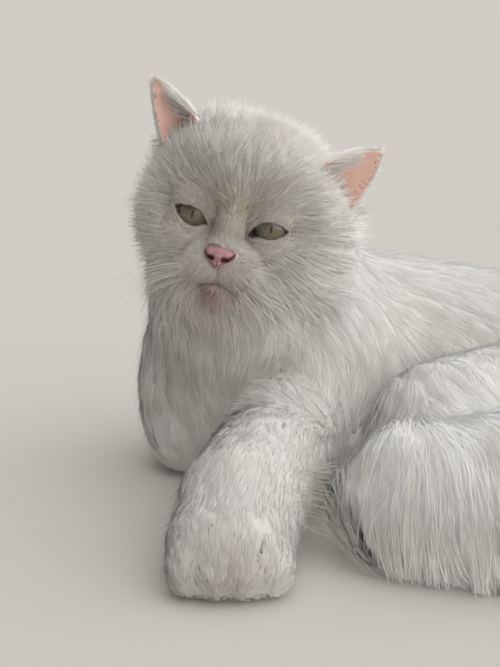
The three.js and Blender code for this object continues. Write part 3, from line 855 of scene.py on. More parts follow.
m = smooth(1.3, 0.5, np.abs(hp[:, 2] - mouth_line(hp[:, 0]))) * smooth(15, 9, np.abs(hp[:, 0])) * smooth(6, 0, hp[:, 1])
skin_col = skin_col * (1 - 0.85 * m[:, None]) + np.array([0.10, 0.055, 0.05]) * 0.85 * m[:, None]
paint(skin, skin_col)
skin.data.materials.append(skin_mat)
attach(skin, "root")
FLESH = [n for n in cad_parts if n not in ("eye_left", "eye_right", "nose")]
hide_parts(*FLESH)

# ------------------------------------------------------------------ long coat
CAMERA = MIDDLE + 1000 * np.array([-0.13021, -0.53168, 0.17769])
coat_v, coat_q = surface(gx, gy, gz, F)
coat_q = coat_q[coat_v[coat_q].mean(1)[:, 2] > 1.0]
note("coat outline: %d quads" % len(coat_q))
A, B, C3, D4 = (coat_v[coat_q[:, i]] for i in range(4))
area_v = 0.5 * np.cross(C3 - A, D4 - B)
area = np.linalg.norm(area_v, axis=1)
mid = (A + B + C3 + D4) / 4
fn = area_v / (area[:, None] + 1e-9)
g = guide(mid)
depth = np.clip(g[1] - g[0], 0.5, 48)


def hair_length(d):
    return 3.2 + 1.30 * d


def hair_width(d):
    return 0.28 + 0.0110 * d


LEG_TOP = np.array([38.0, 22, 36])
LEG_WAY = unit(np.array([-32.0, -112, -11]))
LEG_SIDE = unit(np.cross(LEG_WAY, [0, 0, 1.0]))


def relief(p, amp, leg):
    """How far locks stand above the coat's outline at points, in millimetres."""
    hp = to_head(p)
    head = smooth(82, 68, np.linalg.norm(hp - np.array([0, 30, 0]), axis=-1))
    r = (noise(p, 26, 7)[..., 0] * 0.085 + noise(p, 11, 8)[..., 0] * 0.055) * amp * (1 - 0.75 * leg)
    r = r + head * noise(p, 8, 13)[..., 0] * 0.05 * amp
    r = r + 6.5 * blob(hp, (-52, 30, -6), (13, 26, 26)) + 8.0 * blob(hp, (58, 34, -16), (14, 24, 20)) + 4.5 * blob(hp, (-22, 34, 52), (16, 18, 10))
    r = r + 3.0 * blob(p, (54, -92, 22), (15, 36, 24))
    r = r + smooth(22, 5, p[..., 2]) * smooth(80, 110, p[..., 0]) * smooth(-80, -115, p[..., 1]) * (3 + 4 * noise(p, 9, 21)[..., 0])
    way = (p - LEG_TOP) @ LEG_WAY
    off = (p - LEG_TOP) @ LEG_SIDE
    phase = (way - 0.013 * off * off + 2.2 * noise(p, 34, 9)[..., 0]) / 13.5 * 2 * np.pi
    band = np.sin(phase) + 0.3 * np.sin(2 * phase + 0.6)
    r = r + leg * 1.5 * band * smooth(-20, 10, way) * smooth(122, 96, way) * (0.65 + 0.5 * noise(p, 22, 10)[..., 1])
    return r


def bumped(p, n, amp, leg, strength=1.0):
    """The coat's normal at points, tilted by the locks."""
    e = 1.2
    r0 = relief(p, amp, leg)
    grad = np.stack([relief(p + np.eye(3)[i] * e, amp, leg) - r0 for i in range(3)], -1) / e
    grad = grad - (grad * n).sum(-1, keepdims=True) * n
    return unit(n - strength * grad)


hpm = to_head(mid)
toward = ((CAMERA - mid) * fn).sum(1) / np.linalg.norm(CAMERA - mid, axis=1)
seen = np.where((fn[:, 2] < -0.35) & (toward < 0.1), 0.32, 1.0)
seen = seen * np.where((fn[:, 1] > 0.45) & (mid[:, 1] > 60), 0.62, 1.0)
seen = seen * np.where(mid[:, 2] < 6, 0.6, 1.0)
seen = seen * np.where((mid[:, 0] > 215), 0.72, 1.0)
seen = seen * (1 + 0.35 * smooth(80, 66, np.linalg.norm(hpm - np.array([0, 30, 0]), axis=1)))
facial = smooth(3.6, 2.6, depth)


def tail_end(p):
    """The left end of the tail, next to the foreleg."""
    return blob(p, (60, -96, 20), (15, 36, 20))


seen = np.maximum(seen, 2.8 * tail_end(mid))
want = area * seen * (1 - facial) / (hair_length(depth) * hair_width(depth) * 0.62)
SHARE = 1.0


def interleave(v):
    v = v.astype(np.int64)
    r = np.zeros_like(v)
    for b in range(8):
        r |= ((v >> b) & 1) << (3 * b)
    return r


_cell = ((mid - ORIGIN) / STEP).astype(int)
SPREAD = np.argsort(interleave(_cell[:, 0]) | interleave(_cell[:, 1]) << 1 | interleave(_cell[:, 2]) << 2, kind="stable")   # neighbours stay together


def scatter(weights, count):
    c = np.cumsum(weights[SPREAD])
    f = SPREAD[np.searchsorted(c, (np.arange(count) + rng.random(count)) / count * c[-1] * 0.999999)]
    u, v = rng.random(count), rng.random(count)
    a, b, c, d = (coat_v[coat_q[f, i]] for i in range(4))
    return f, (a * (1 - u[:, None]) + b * u[:, None]) * (1 - v[:, None]) + (d * (1 - u[:, None]) + c * u[:, None]) * v[:, None]


def grow(start, lift, amp, leg, reach=1.0, wander=1.0, jitter=0.07, times=(0.0, 0.36, 0.70, 1.0), at=0.62, rise=3.8, flare=0.0):
    """Curves through start, a place near the coat's outline: back and down to the skin, and on to the tip.
    lift is how far the hair stands above the outline there, in millimetres. Gives the curves, the coat's
    normals along them, the depth of the coat and the length of the hair."""
    f, s, nf, ns = guide(start)
    depth = np.clip(s - f, 0.6, 48)
    length = hair_length(depth) * reach
    wander = np.broadcast_to(wander, len(start))[:, None]
    turn_by = (noise(start, 30, 1) * 0.26 + noise(start, 10, 3) * 0.13) * wander + rng.normal(0, jitter, start.shape) * wander

    def height(t):                     # part of the way out from skin to outline
        return 1 - (1 - np.clip(t, 0, 1)) ** rise

    pts, nors = {}, {}
    p = start + nf * (lift - (1 - height(at)) * depth - f)[:, None]
    here, t = p, at
    for t2 in [x for x in times if x > at]:
        d = lie_at(here, nf)
        d = unit(d + turn_by - (turn_by * nf).sum(-1, keepdims=True) * nf)
        nxt = here + d * ((t2 - t) * length)[:, None]
        f2, _, n2, _ = guide(nxt)
        target = lift * (0.5 + 0.5 * t2 / at) - (1 - height(t2)) * depth + flare * (t2 - at) / (1 - at)
        nxt = nxt + n2 * np.clip(target - f2, -0.4 * length, 0.4 * length)[:, None]
        pts[t2], nors[t2] = nxt, n2
        here, t = nxt, t2
    here, t = p, at
    for t2 in [x for x in times if x <= at][::-1]:
        f1, s1, n1, m1 = guide(here)
        d = lie_at(here, n1)
        d = unit(d + turn_by - (turn_by * n1).sum(-1, keepdims=True) * n1)
        nxt = here - d * ((t - t2) * length)[:, None]
        f2, s2, n2, m2 = guide(nxt)
        dep2 = np.clip(s2 - f2, 0.6, 60)
        target = -(1 - height(t2)) * dep2 + lift * t2 / at
        nxt = nxt + m2 * np.clip(target - f2, -1.0 * length, 0.3 * length)[:, None]
        pts[t2], nors[t2] = nxt, n2
        here, t = nxt, t2
    root = pts[times[0]]
    for _ in range(3):                 # the root goes down to the skin
        _, s3, _, m3 = guide(root)
        root = root - m3 * (s3 + 0.3)[:, None]
    pts[times[0]] = root
    curve = np.stack([pts[t] for t in times], 1)
    nor = np.stack([nors[t] for t in times], 1)
    k = len(times)
    flat_p, flat_n = curve.reshape(-1, 3), nor.reshape(-1, 3)
    nor = bumped(flat_p, flat_n, np.repeat(amp, k), np.repeat(leg, k)).reshape(nor.shape)
    nor[..., 2] = np.maximum(nor[..., 2], -0.12)      # the pale floor lights what hangs over it
    nor = unit(nor)
    return curve, nor, depth, length


def nearest(points, centres):
    kd = KDTree(len(centres))
    for i, c in enumerate(centres.tolist()):
        kd.insert(c, i)
    kd.balance()
    return np.array([kd.find(p)[1] for p in points.tolist()])


def over_eye(curve):
    """Whether a strand passes over the opening of an eye, or over the nose."""
    hp = to_head(curve)
    bad = np.zeros(len(curve), bool)
    dense = np.concatenate([hp[:, :-1] * (1 - t) + hp[:, 1:] * t for t in (0, 0.25, 0.5, 0.75)] + [hp[:, -1:]], 1)
    for s in (-1, 1):
        gap = opening(s, dense[..., 0] - s * EYE_X, dense[..., 2])
        bad |= ((gap < 0.30) & (dense[..., 1] < 10)).any(1)
    x, y, z = dense[..., 0] - NOSE_X, dense[..., 1], dense[..., 2]
    bad |= ((np.abs(x) < nose_half(z) - 0.3) & (z < -12.8) & (z > -24.0) & (y < -8)).any(1)
    return bad


def astray(curve, most):
    """Whether a strand crosses open air, more than most millimetres outside the coat's outline."""
    worst = np.full(len(curve), -99.0)
    for j in range(curve.shape[1] - 1):
        for t in (0.25, 0.5, 0.75, 1.0):
            worst = np.maximum(worst, sample(GUIDE[..., :1], STEP, curve[:, j] * (1 - t) + curve[:, j + 1] * t)[..., 0])
    return worst > most


def supple(curve):
    """Whether a strand has no sharp bend."""
    seg = unit(np.diff(curve, axis=1))
    cos = (seg[:, 1:] * seg[:, :-1]).sum(-1)
    return (cos[:, 0] > -0.2) & (cos[:, 1:] > 0.3).all(1)


def off_floor(curve):
    """Keeps hair off the floor."""
    low = 0.5 + 0.6 * rng.random(len(curve))[:, None]
    curve[..., 2] = np.maximum(curve[..., 2], low)
    return curve


LEG_PARTS = [PARTS.index(p) for p in ("foreL", "pawL")]


def leg_part(p):
    return np.isin(part_of(p), LEG_PARTS).astype(float)


def near_head(p):
    return smooth(82, 70, np.linalg.norm(to_head(p) - np.array([0, 30, 0]), axis=-1))


HAIR = []


def add_coat(count, weights, times, wisps):
    face_i, start = scatter(weights, count)
    n = len(start)
    dep = depth[face_i]
    amp = np.clip(dep, 2, 40)
    leg = leg_part(start)
    head = near_head(start)
    lift0 = relief(start, amp, leg)
    lift = lift0 - (0.022 + 0.045 * head) * amp * rng.random(n) ** 1.3
    tail = part_of(start) == PARTS.index("tail")
    wisp = rng.random(n) < wisps * (1 + 2.2 * head)
    lift = np.where(wisp, lift0 + rng.uniform(0.02, 0.12, n) * np.clip(dep, 5, 30), lift)
    flare = np.where(wisp, (rng.uniform(1.0, 5.0, n) + head * rng.uniform(0, 6.0, n)) * (1 - 0.8 * tail), 0.0)
    hs = to_head(start)
    flare = flare + rng.random(n) ** 2 * (6.0 * blob(hs, (6, 40, 50), (34, 30, 16)) + 7.0 * blob(hs, (58, 34, -14), (14, 26, 24)))
    flare = flare + 8.0 * rng.random(n) * np.exp(-(np.linalg.norm((start - WHORL - np.array([-4, 6, 2])) / np.array([24, 18, 14]), axis=1)) ** 2)
    curve, nor, dep, length = grow(start, lift, amp, leg, reach=rng.uniform(0.78, 1.18, n) * (1 - 0.2 * leg) * np.where(tail, rng.uniform(0.8, 1.25, n), 1), wander=1 - 0.45 * leg + 0.5 * head,
                                   times=times, flare=flare, at=0.56)
    tt = np.array(times)
    # locks: hair runs together towards its tip, and a lock is rounded
    g_id = rng.choice(n, max(int(n * 0.045), 8), replace=False)
    near_g = g_id[nearest(start, start[g_id])]
    off = curve - curve[near_g]
    far = np.linalg.norm(start - start[near_g], axis=1)
    pull = np.clip(1.5 - far / (0.4 * length + 3), 0, 1) * (0.50 - 0.15 * leg - 0.05 * head) * rng.uniform(0.5, 1.1, n)
    pull = np.clip(np.where(wisp, pull * 0.3, pull), 0, 0.8)
    k = (pull[:, None] * tt[None] ** 1.6)[..., None]
    curve = curve - off * k
    side = off - (off * nor).sum(-1, keepdims=True) * nor
    along = unit(curve[:, -1] - curve[:, 0])[:, None]
    side = side - (side * along).sum(-1, keepdims=True) * along
    radius = (2.2 + 0.10 * length)[:, None, None]
    nor = unit(nor + (0.22 + 0.30 * head)[:, None, None] * np.clip(side / radius, -1, 1) * (pull > 0.02)[:, None, None])
    g2 = rng.choice(n, max(int(n * 0.25), 8), replace=False)
    near2 = g2[nearest(start, start[g2])]
    k2 = ((0.35 * rng.random(n))[:, None] * tt[None] ** 1.5)[..., None]
    curve = curve * (1 - k2) + curve[near2] * k2
    # waves
    bi = unit(np.cross(nor[:, -1], curve[:, -1] - curve[:, 0]))
    ph = noise(start, 20, 12)[:, 0] * 5 + rng.normal(0, 0.5, n)
    wave = np.sin(tt[None] * 4.2 + ph[:, None]) * (length * 0.035)[:, None] * tt[None]
    curve = off_floor(curve + bi[:, None, :] * wave[..., None])
    extent = np.linalg.norm(np.diff(curve, axis=1), axis=2).sum(1)
    ok = supple(curve) & (extent < 1.4 * length + 8) & ~over_eye(curve) & ~astray(curve, np.where(tail | (leg > 0.5), 0.5, 1.6) + 2.0 * tail_end(start) + 1.5 * np.maximum(lift, 0) + flare)
    curve, nor, start, dep, wisp, head = (a[ok] for a in (curve, nor, start, dep, wisp, head))
    root_at, _, root_uv = on_skin(curve[:, 0])
    n = len(curve)
    tone = 1 + 0.012 * head + rng.normal(0, 0.008, n) * (1 + 7 * head)
    colour = np.clip(markings_and_painted_light(root_at) * tone[:, None], 0.01, 0.96)
    width = hair_width(dep) * rng.uniform(0.75, 1.25, n) * np.where(wisp, 0.6, 1)
    HAIR.append(dict(curve=curve, normal=nor, uv=root_uv, colour=colour, width=width, part=part_of(start), at=start,
                     soft=0.97 - 0.62 * head, keel=1 - 0.65 * head, root_tone=0.96, flat=0.6))
    note("coat: %d strands" % n)


facing = toward > -0.12
long_hair = (depth > 22) & facing
add_coat(int(30000 * SHARE), want * long_hair, (0.0, 0.36, 0.68, 1.0), 0.08)
add_coat(int(82000 * SHARE), want * ~long_hair, (0.0, 0.48, 1.0), 0.08)

# ------------------------------------------------------------------ undercoat: broad flat tufts close together, just under the long hair
U = int(25000 * SHARE)
thick_enough = smooth(2.5, 5, depth)
u_want = area * (np.where((fn[:, 2] < -0.35) & (toward < 0.1), 0.45, 1.0) + 2.0 * tail_end(mid)) * thick_enough / np.clip(depth, 8, 30) ** 0.9
fu, us = scatter(u_want, U)
dep_u = depth[fu]
amp_u = np.clip(dep_u, 2, 40)
leg_u = leg_part(us)
uc, un, ud, ul = grow(us, relief(us, amp_u, leg_u) - 1.0 - (0.055 + 0.045 * leg_u) * dep_u - 0.02 * dep_u * rng.random(U), amp_u, leg_u, reach=rng.uniform(0.8, 1.0, U),
                      wander=0.5, times=(0.0, 0.42, 0.86, 1.0), rise=4.5, at=0.56)
uc = off_floor(uc)
uok = supple(uc) & ~over_eye(uc) & ~astray(uc, 0.5 + 2.0 * tail_end(us) + np.maximum(relief(us, amp_u, leg_u), 0))
uc, un, ud, us = uc[uok], un[uok], ud[uok], us[uok]
uat, _, uuv = on_skin(uc[:, 0])
ucol = np.clip(markings_and_painted_light(uat) * (1 + rng.normal(0, 0.008, len(uc)))[:, None], 0.01, 0.92)
HAIR.append(dict(curve=uc, normal=un, uv=uuv, colour=ucol, width=(1.3 + 0.13 * ud) * rng.uniform(0.85, 1.15, len(uc)), part=part_of(us), at=us,
                 soft=np.full(len(uc), 1.0), keel=np.full(len(uc), 1.0), root_tone=0.98, flat=0.35, shape=(1.0, 0.86)))
note("undercoat")

# ------------------------------------------------------------------ short coat of the face, rooted on the skin
tv = sv[tri]
tn = np.cross(tv[:, 1] - tv[:, 0], tv[:, 2] - tv[:, 0])
ta = 0.5 * np.linalg.norm(tn, axis=1)
tn = unit(tn)
tm = tv.mean(1)
hpt = to_head(tm)
ti = np.nonzero((np.linalg.norm(hpt - np.array([0, 10, 0]), axis=1) < 62) & (tm[:, 2] > 95) & (tm[:, 1] < 60))[0]
gm = guide(tm[ti])
fd = np.clip(gm[1] - gm[0], 0.5, 48)
w_face = smooth(5.4, 3.6, fd) * ta[ti]


def ear_side(hp):
    """For points in the head's axes: which ear they are on (0 for none), and w, s, n there."""
    side = np.zeros(len(hp), int)
    res = np.zeros((len(hp), 3))
    for s in (-1, 1):
        base, up, across, into = ear_axes(s)
        inv = np.linalg.inv(np.stack([up, across, into], 1))
        w, a, n = ((hp - base) @ inv.T).T
        width = np.maximum(ear_width(w), 1e-3)
        ss = a / width
        cup = 10 * (1 - np.minimum(ss * ss, 1)) * np.maximum(1 - w, 0) ** 0.7
        on = (w > 0.02) & (w < 1.08) & (np.abs(ss) < 1.25) & (np.abs(n - cup) < 3.2)
        side[on] = s
        res[on] = np.stack([w, ss, n - cup], 1)[on]
    return side, res


def lid_gap(hp):
    """How far points of the face are from the nearer eye's opening."""
    return np.minimum(opening(-1, hp[:, 0] + EYE_X, hp[:, 2]) + (hp[:, 0] > 0) * 99, opening(1, hp[:, 0] - EYE_X, hp[:, 2]) + (hp[:, 0] < 0) * 99)


es, er = ear_side(hpt[ti])
w_face = np.where(es != 0, 0, w_face)
w_face = w_face * np.where((hpt[ti, 1] < 10) & (lid_gap(hpt[ti]) < 0.6), 0, 1)
lip = np.exp(-((hpt[ti, 2] + 38.5) / 3.0) ** 2 - ((hpt[ti, 0] + 1.5) / 6.5) ** 2) * (hpt[ti, 1] < 4)
w_face = w_face * (1 - 0.75 * lip) * (1 + 0.8 * smooth(28, 18, np.linalg.norm(hpt[ti] - np.array([0, -4, -22]), axis=1)))
NF = int(36000 * SHARE)
pick = rng.choice(len(ti), NF, p=w_face / w_face.sum())
r1, r2 = np.sqrt(rng.random(NF)), rng.random(NF)
T = tv[ti[pick]]
froot = T[:, 0] * (1 - r1)[:, None] + T[:, 1] * (r1 * (1 - r2))[:, None] + T[:, 2] * (r1 * r2)[:, None]
fnor = tn[ti[pick]]
fdep = fd[pick]
hpf = to_head(froot)
flen = (4.0 + 1.35 * fdep) * rng.uniform(0.75, 1.25, NF) * (0.42 + 0.58 * smooth(0.8, 6, lid_gap(hpf)))
flen = flen * (1 - 0.35 * smooth(14, 8, np.linalg.norm(hpf - np.array([NOSE_X, -14, -15]), axis=1)))
tb = noise(froot, 12, 4) * 0.26 + noise(froot, 5, 14) * 0.16 + rng.normal(0, 0.11, froot.shape)
d0 = lie_at(froot, fnor)
d0 = unit(d0 + tb - (tb * fnor).sum(-1, keepdims=True) * fnor)
rise = np.clip(0.24 + 0.045 * fdep + rng.normal(0, 0.07, NF) + 0.10 * noise(froot, 6, 6)[:, 0], 0.07, 0.6)
p1 = froot + d0 * (flen * 0.42)[:, None] + fnor * (flen * 0.42 * rise * 1.5)[:, None]
d1 = unit(lie_at(p1, fnor) + tb)
p2 = p1 + d1 * (flen * 0.58)[:, None] + fnor * (flen * 0.58 * rise * 0.5)[:, None]
fcurve = np.stack([froot - fnor * 0.3, p1, p2], 1)
fg = rng.choice(NF, int(NF * 0.16), replace=False)
fn_near = fg[nearest(froot, froot[fg])]
kf = ((0.45 * rng.random(NF))[:, None] * np.array([0, 0.3, 1.0])[None])[..., None]
fcurve = fcurve * (1 - kf) + (fcurve[fn_near] - froot[fn_near][:, None] * 0 ) * kf
_, _, fuv = on_skin(froot)
fcol = np.clip(markings_and_painted_light(froot) * (1 + rng.normal(0, 0.11, NF))[:, None], 0.01, 0.93)
fok = ~over_eye(fcurve)
fwid = (0.27 + 0.012 * fdep) * rng.uniform(0.8, 1.25, NF)
note("face coat")

# ------------------------------------------------------------------ loose curved hairs over the forehead
lr = np.random.default_rng(53)
LN = 44
lp = from_head(np.stack([lr.uniform(-34, 36, LN), np.full(LN, 8.0), lr.uniform(2, 46, LN)], 1))
for _ in range(4):
    lf, _, ln, _ = guide(lp)
    lp = lp - ln * lf[:, None]
la = lr.uniform(0, 2 * np.pi, LN)
bow = lr.uniform(-1, 1, LN)
step_l = lr.uniform(12, 26, LN) / 6
line = [lp - ln * 2.0]
for j in range(6):
    _, _, ln, _ = guide(lp)
    ang = la + bow * 0.42 * j
    way = np.cos(ang)[:, None] * HEAD[:, 0] + np.sin(ang)[:, None] * HEAD[:, 2]
    lp = lp + unit(way - (way * ln).sum(-1, keepdims=True) * ln) * step_l[:, None]
    lf, _, ln, _ = guide(lp)
    lp = lp + ln * (lr.uniform(0.6, 1.6, LN) + 0.25 * j - lf)[:, None]
    line.append(lp)
loose = np.stack(line, 1)
lok = ~over_eye(loose)
loose, lnor = loose[lok], np.repeat(unit([0.5, -0.3, 0.8])[None], lok.sum(), 0)
_, _, luv = on_skin(loose[:, 0])

# ------------------------------------------------------------------ ears: fine fur behind, long hair inside, tufts on the rim and tip
ears = []
for s in (-1, 1):
    base, up, across, into = ear_axes(s)
    hb = unit(up) @ HEAD.T
    ac = unit(across) @ HEAD.T
    io = into @ HEAD.T
    crown = -1.0 if (across[0] * s) > 0 else 1.0           # the sign of a on the side of the crown
    lit = unit([0.65, 0.08, 0.75])

    def ear_hair(n, w, a, depth_at, flow, length, lift, width, points, nor, pink=0.0, bend=None, soft=0.7, sink=0.3):
        root = ear_point(s, w, a, depth_at)
        flow = unit(flow + rng.normal(0, 0.10, (n, 3)))
        bend = flow if bend is None else unit(bend + rng.normal(0, 0.10, (n, 3)))
        L = length[:, None]
        nor = np.broadcast_to(nor, (n, 3))
        if points == 3:
            c1 = root + flow * L * 0.5 + nor * L * lift
            c = [root - nor * sink, c1, c1 + unit(flow + bend) * L * 0.5 + nor * L * lift * 0.3]
        else:
            c1 = root + flow * L * 0.36
            c2 = c1 + unit(flow * 0.6 + bend * 0.5) * L * 0.34
            c = [root - nor * sink, c1, c2, c2 + unit(flow * 0.2 + bend) * L * 0.30]
        ears.append((np.stack(c, 1), rng.uniform(0.8, 1.2, n) * width, nor, pink, soft))

    q = lambda k: max(int(k * SHARE), 8)
    # behind
    n = q(3000)
    w, a = rng.uniform(-0.08, 0.84, n), rng.uniform(-0.8, 0.8, n)
    ear_hair(n, w, a, np.full(n, 0.9), hb + 0.25 * ac * a[:, None], rng.uniform(4, 6.5, n) * (1 - 0.6 * w), 0.12, 0.36, 3, unit(io + ac * (a * 0.9)[:, None]))
    # short down on the pink inside
    n = q(1300)
    w, a = rng.uniform(0.05, 0.95, n), rng.uniform(-0.92, 0.92, n)
    ear_hair(n, w, a, np.full(n, -0.9), hb * 0.9 + ac * (0.5 * a)[:, None], rng.uniform(2.0, 4.0, n), 0.12, 0.16, 3, unit(-io + ac * (a * 0.5)[:, None]), pink=0.45)
    # long hair from the edge next to the crown, over the opening
    n = q(420)
    w = rng.uniform(-0.05, 0.5, n)
    a = crown * rng.uniform(0.55, 1.0, n)
    flow = hb * rng.uniform(0.6, 1.3, n)[:, None] - ac * (crown * rng.uniform(0.1, 0.8, n))[:, None] - io * 0.30
    ear_hair(n, w, a, np.full(n, -0.6), flow, rng.uniform(9, 19, n) * (1 - 0.5 * np.clip(w, 0, 1)), 0, 0.20, 4, unit(lit - io * 0.6),
             bend=hb * 0.8 - ac * crown * 0.35)
    # the base of the opening
    n = q(620)
    w, a = rng.uniform(-0.16, 0.06, n), rng.uniform(-0.9, 0.9, n)
    ear_hair(n, w, a, np.full(n, -1.0), hb + ac * (a * 0.4)[:, None] - io * 0.45, rng.uniform(6, 14, n), 0, 0.22, 4, unit(lit - io * 0.7), bend=hb * 1.0 + ac * (a * 0.3)[:, None])
    # the rim
    for sd in (-1.0, 1.0):
        n = q(900)
        w = rng.uniform(-0.05, 0.95, n)
        outw = unit(lit - io * 0.6)
        ear_hair(n, w, np.full(n, sd * 0.985), rng.uniform(-0.7, 0.7, n), hb * 0.95 + ac * (sd * 0.32) + io * rng.uniform(-0.3, 0.25, n)[:, None],
                 rng.uniform(2.4, 4.8, n) * (1 - 0.55 * np.clip(w, 0, 1) ** 2), 0.0, 0.28, 3, outw, soft=0.9)
    # long hair by the outer edge's foot
    n = q(160)
    w = rng.uniform(-0.12, 0.2, n)
    ear_hair(n, w, np.full(n, -crown * 0.95), rng.uniform(-0.5, 0.5, n), hb * 0.7 - ac * crown * 0.5, rng.uniform(6, 12, n), 0.05, 0.22, 4, unit(-ac * crown + hb * 0.3),
             bend=hb * 0.4 - ac * crown * 0.9)
    # the tip
    n = q(46)
    w = rng.uniform(0.86, 0.98, n)
    a = rng.uniform(-0.9, 0.9, n)
    ear_hair(n, w, a, rng.uniform(-0.4, 0.4, n), hb + (ac * rng.normal(0, 0.25, n)[:, None]), rng.uniform(2.0, 5.5, n), 0, 0.16, 3, unit(lit - io * 0.5))
note("ears")

# ------------------------------------------------------------------ meshes of the coat
GROUPS = {
    "coat_head": ("head",), "coat_chest": ("neck", "bib", "chest", "foreR", "pawR"), "coat_foreleg": ("foreL", "pawL"),
    "coat_trunk": ("trunk",), "coat_rump": ("rump", "thighR", "footR"), "coat_thigh": ("thighL", "shankL", "footL"), "coat_tail": ("tail",),
}
FIELDS = ("curve", "normal", "uv", "colour", "width", "soft", "keel", "at")
total = 0


for name, names, hair in [(n, v, HAIR[:2]) for n, v in GROUPS.items()] + [("under" + n, v, HAIR[2:]) for n, v in GROUPS.items()]:
    ids = [PARTS.index(p) for p in names]
    chosen, tris = [], 0
    for row in hair:
        sel = np.nonzero(np.isin(row["part"], ids))[0]
        sel = sel[np.argsort(row["at"][sel, 0], kind="stable")]
        chosen.append((row, sel))
        tris += len(sel) * 6 * (row["curve"].shape[1] - 2)
    pieces = max(int(np.ceil(tris / 188000)), 1)
    for i in range(pieces):
        rows = []
        for row, sel in chosen:
            a = sel[len(sel) * i // pieces:len(sel) * (i + 1) // pieces]
            if len(a):
                rows.append({**{k: row[k][a] for k in FIELDS}, **{k: row[k] for k in ("root_tone", "flat", "shape") if k in row}})
        ob = strand_mesh(name if pieces == 1 else "%s_%d" % (name, i + 1), rows, coat_mat)
        ob.visible_shadow = name == "coat_head"      # fine hair lets the light through
        total += len(ob.data.polygons)
        note("%s: %d triangles" % (ob.name, len(ob.data.polygons)))
a = np.nonzero(fok)[0]
parts_n = int(np.ceil(len(a) * 6 / 188000)) or 1
a = a[np.argsort(froot[a, 0], kind="stable")]
for i in range(parts_n):
    q = a[len(a) * i // parts_n:len(a) * (i + 1) // parts_n]
    ob = strand_mesh("coat_face" if parts_n == 1 else "coat_face_%d" % (i + 1),
                     [dict(curve=fcurve[q], width=fwid[q], normal=fnor[q], uv=fuv[q], colour=fcol[q], soft=0.30, root_tone=0.74)], coat_mat)
    total += len(ob.data.polygons)
rows = [dict(curve=loose, keel=1.0, width=np.full(len(loose), 0.17), normal=lnor, uv=luv, colour=np.full((len(loose), 3), 0.92), soft=0.9,
             shape=(1.0, 1.0, 1.0, 1.0, 0.8))]
for c, wd, nr, pink, soft in ears:
    _, _, euv = on_skin(c[:, 0])
    col = np.broadcast_to(WHITE, (len(c), 3)) * (1 + rng.normal(0, 0.02, len(c)))[:, None]
    col = col * (1 - pink) + np.array([0.86, 0.62, 0.56]) * pink
    rows.append(dict(curve=c, width=wd, normal=nr, uv=euv, colour=np.clip(col, 0, 0.93), soft=soft, keel=1.0))
ob = strand_mesh("coat_ears", rows, ear_mat)
ob.visible_shadow = False
total += len(ob.data.polygons)
note("coat meshes: %d triangles in all" % total)

# ------------------------------------------------------------------ nose
nx, ny, nz = (np.arange(a, b, 0.35, dtype=f32) for a, b in ((-12, 12), (-21, 2), (-29, -7)))
X, Y, Z = grid_axes(nx, ny, nz)


def egg(c, r):
    q = np.sqrt(((X - c[0]) / r[0]) ** 2 + ((Y - c[1]) / r[1]) ** 2 + ((Z - c[2]) / r[2]) ** 2)
    return (q - 1) * min(r)


def rod(a, b, ra, rb):
    a, b = np.array(a, float), np.array(b, float)
    ab = b - a
    t = np.clip(((X - a[0]) * ab[0] + (Y - a[1]) * ab[1] + (Z - a[2]) * ab[2]) / (ab @ ab), 0, 1)
    return np.sqrt((X - a[0] - t * ab[0]) ** 2 + (Y - a[1] - t * ab[1]) ** 2 + (Z - a[2] - t * ab[2]) ** 2) - (ra + (rb - ra) * t)


XN = X - NOSE_X
half = nose_half(Z)
slope = np.gradient(nose_half(nz), nz)[None, None, :]
side = (np.abs(XN) - half) / np.sqrt(1 + np.clip(slope, -2.5, 2.5) ** 2)
ridge = -17.6 + 0.052 * XN * XN + 0.030 * (Z + 17) ** 2
ridge = ridge - 1.0 * np.exp(-((np.abs(XN) - 6.0) / 2.2) ** 2 - ((Z + 16.3) / 2.4) ** 2)           # wings
ridge = ridge - 0.8 * np.exp(-(XN / 1.7) ** 2) * smooth(-15.5, -19, Z)                               # the column between the nostrils
ridge = ridge + 0.9 * np.exp(-(XN / 0.40) ** 2) * smooth(-17.0, -19.5, Z)                            # its furrow
ridge = ridge + 1.3 * smooth(-15, -12.6, Z)
N3 = smax(ridge - Y, side + 0 * Y, 1.7)
SLIT = [(3.3, -19.1, 1.30), (5.1, -18.9, 0.95), (7.2, -17.5, 0.62), (8.5, -15.9, 0.36)]
for s in (-1, 1):
    for a, b in zip(SLIT, SLIT[1:]):
        ya, yb = (-16.9 + 0.052 * q[0] ** 2 + 0.3 for q in (a, b))
        N3 = smax(N3, -rod((NOSE_X + s * a[0], ya, a[1]), (NOSE_X + s * b[0], yb, b[1]), a[2], b[2]), 0.45)
N3 = np.maximum(N3, Y + 2.5)
nv, nq = surface(nx, ny, nz, N3)
nv, nq, _ = main_body(nv, nq)
nose = new_mesh("nose_leather", from_head(nv), nq)
pink = np.array([0.48, 0.250, 0.258])
ncol = np.broadcast_to(pink, nv.shape).copy()
edge = smooth(0.4, 2.6, nose_half(nv[:, 2]) - np.abs(nv[:, 0] - NOSE_X))[:, None] * smooth(-12.6, -16.2, nv[:, 2])[:, None]
ncol = ncol * edge + np.array([0.30, 0.16, 0.165]) * (1 - edge)
near = np.full(len(nv), 99.0)
for s in (-1, 1):
    for a, b in zip(SLIT, SLIT[1:]):
        for t in np.linspace(0, 1, 5):
            c = np.array([NOSE_X + s * (a[0] * (1 - t) + b[0] * t), a[1] * (1 - t) + b[1] * t])
            near = np.minimum(near, np.linalg.norm(nv[:, [0, 2]] - c, axis=1) / (a[2] * (1 - t) + b[2] * t))
# painted shade: the nostrils' slits and their edges near-black
k = smooth(2.1, 0.75, near)[:, None] * (nv[:, 1:2] < -11)
ncol = ncol * (1 - k) + np.array([0.075, 0.026, 0.026]) * k
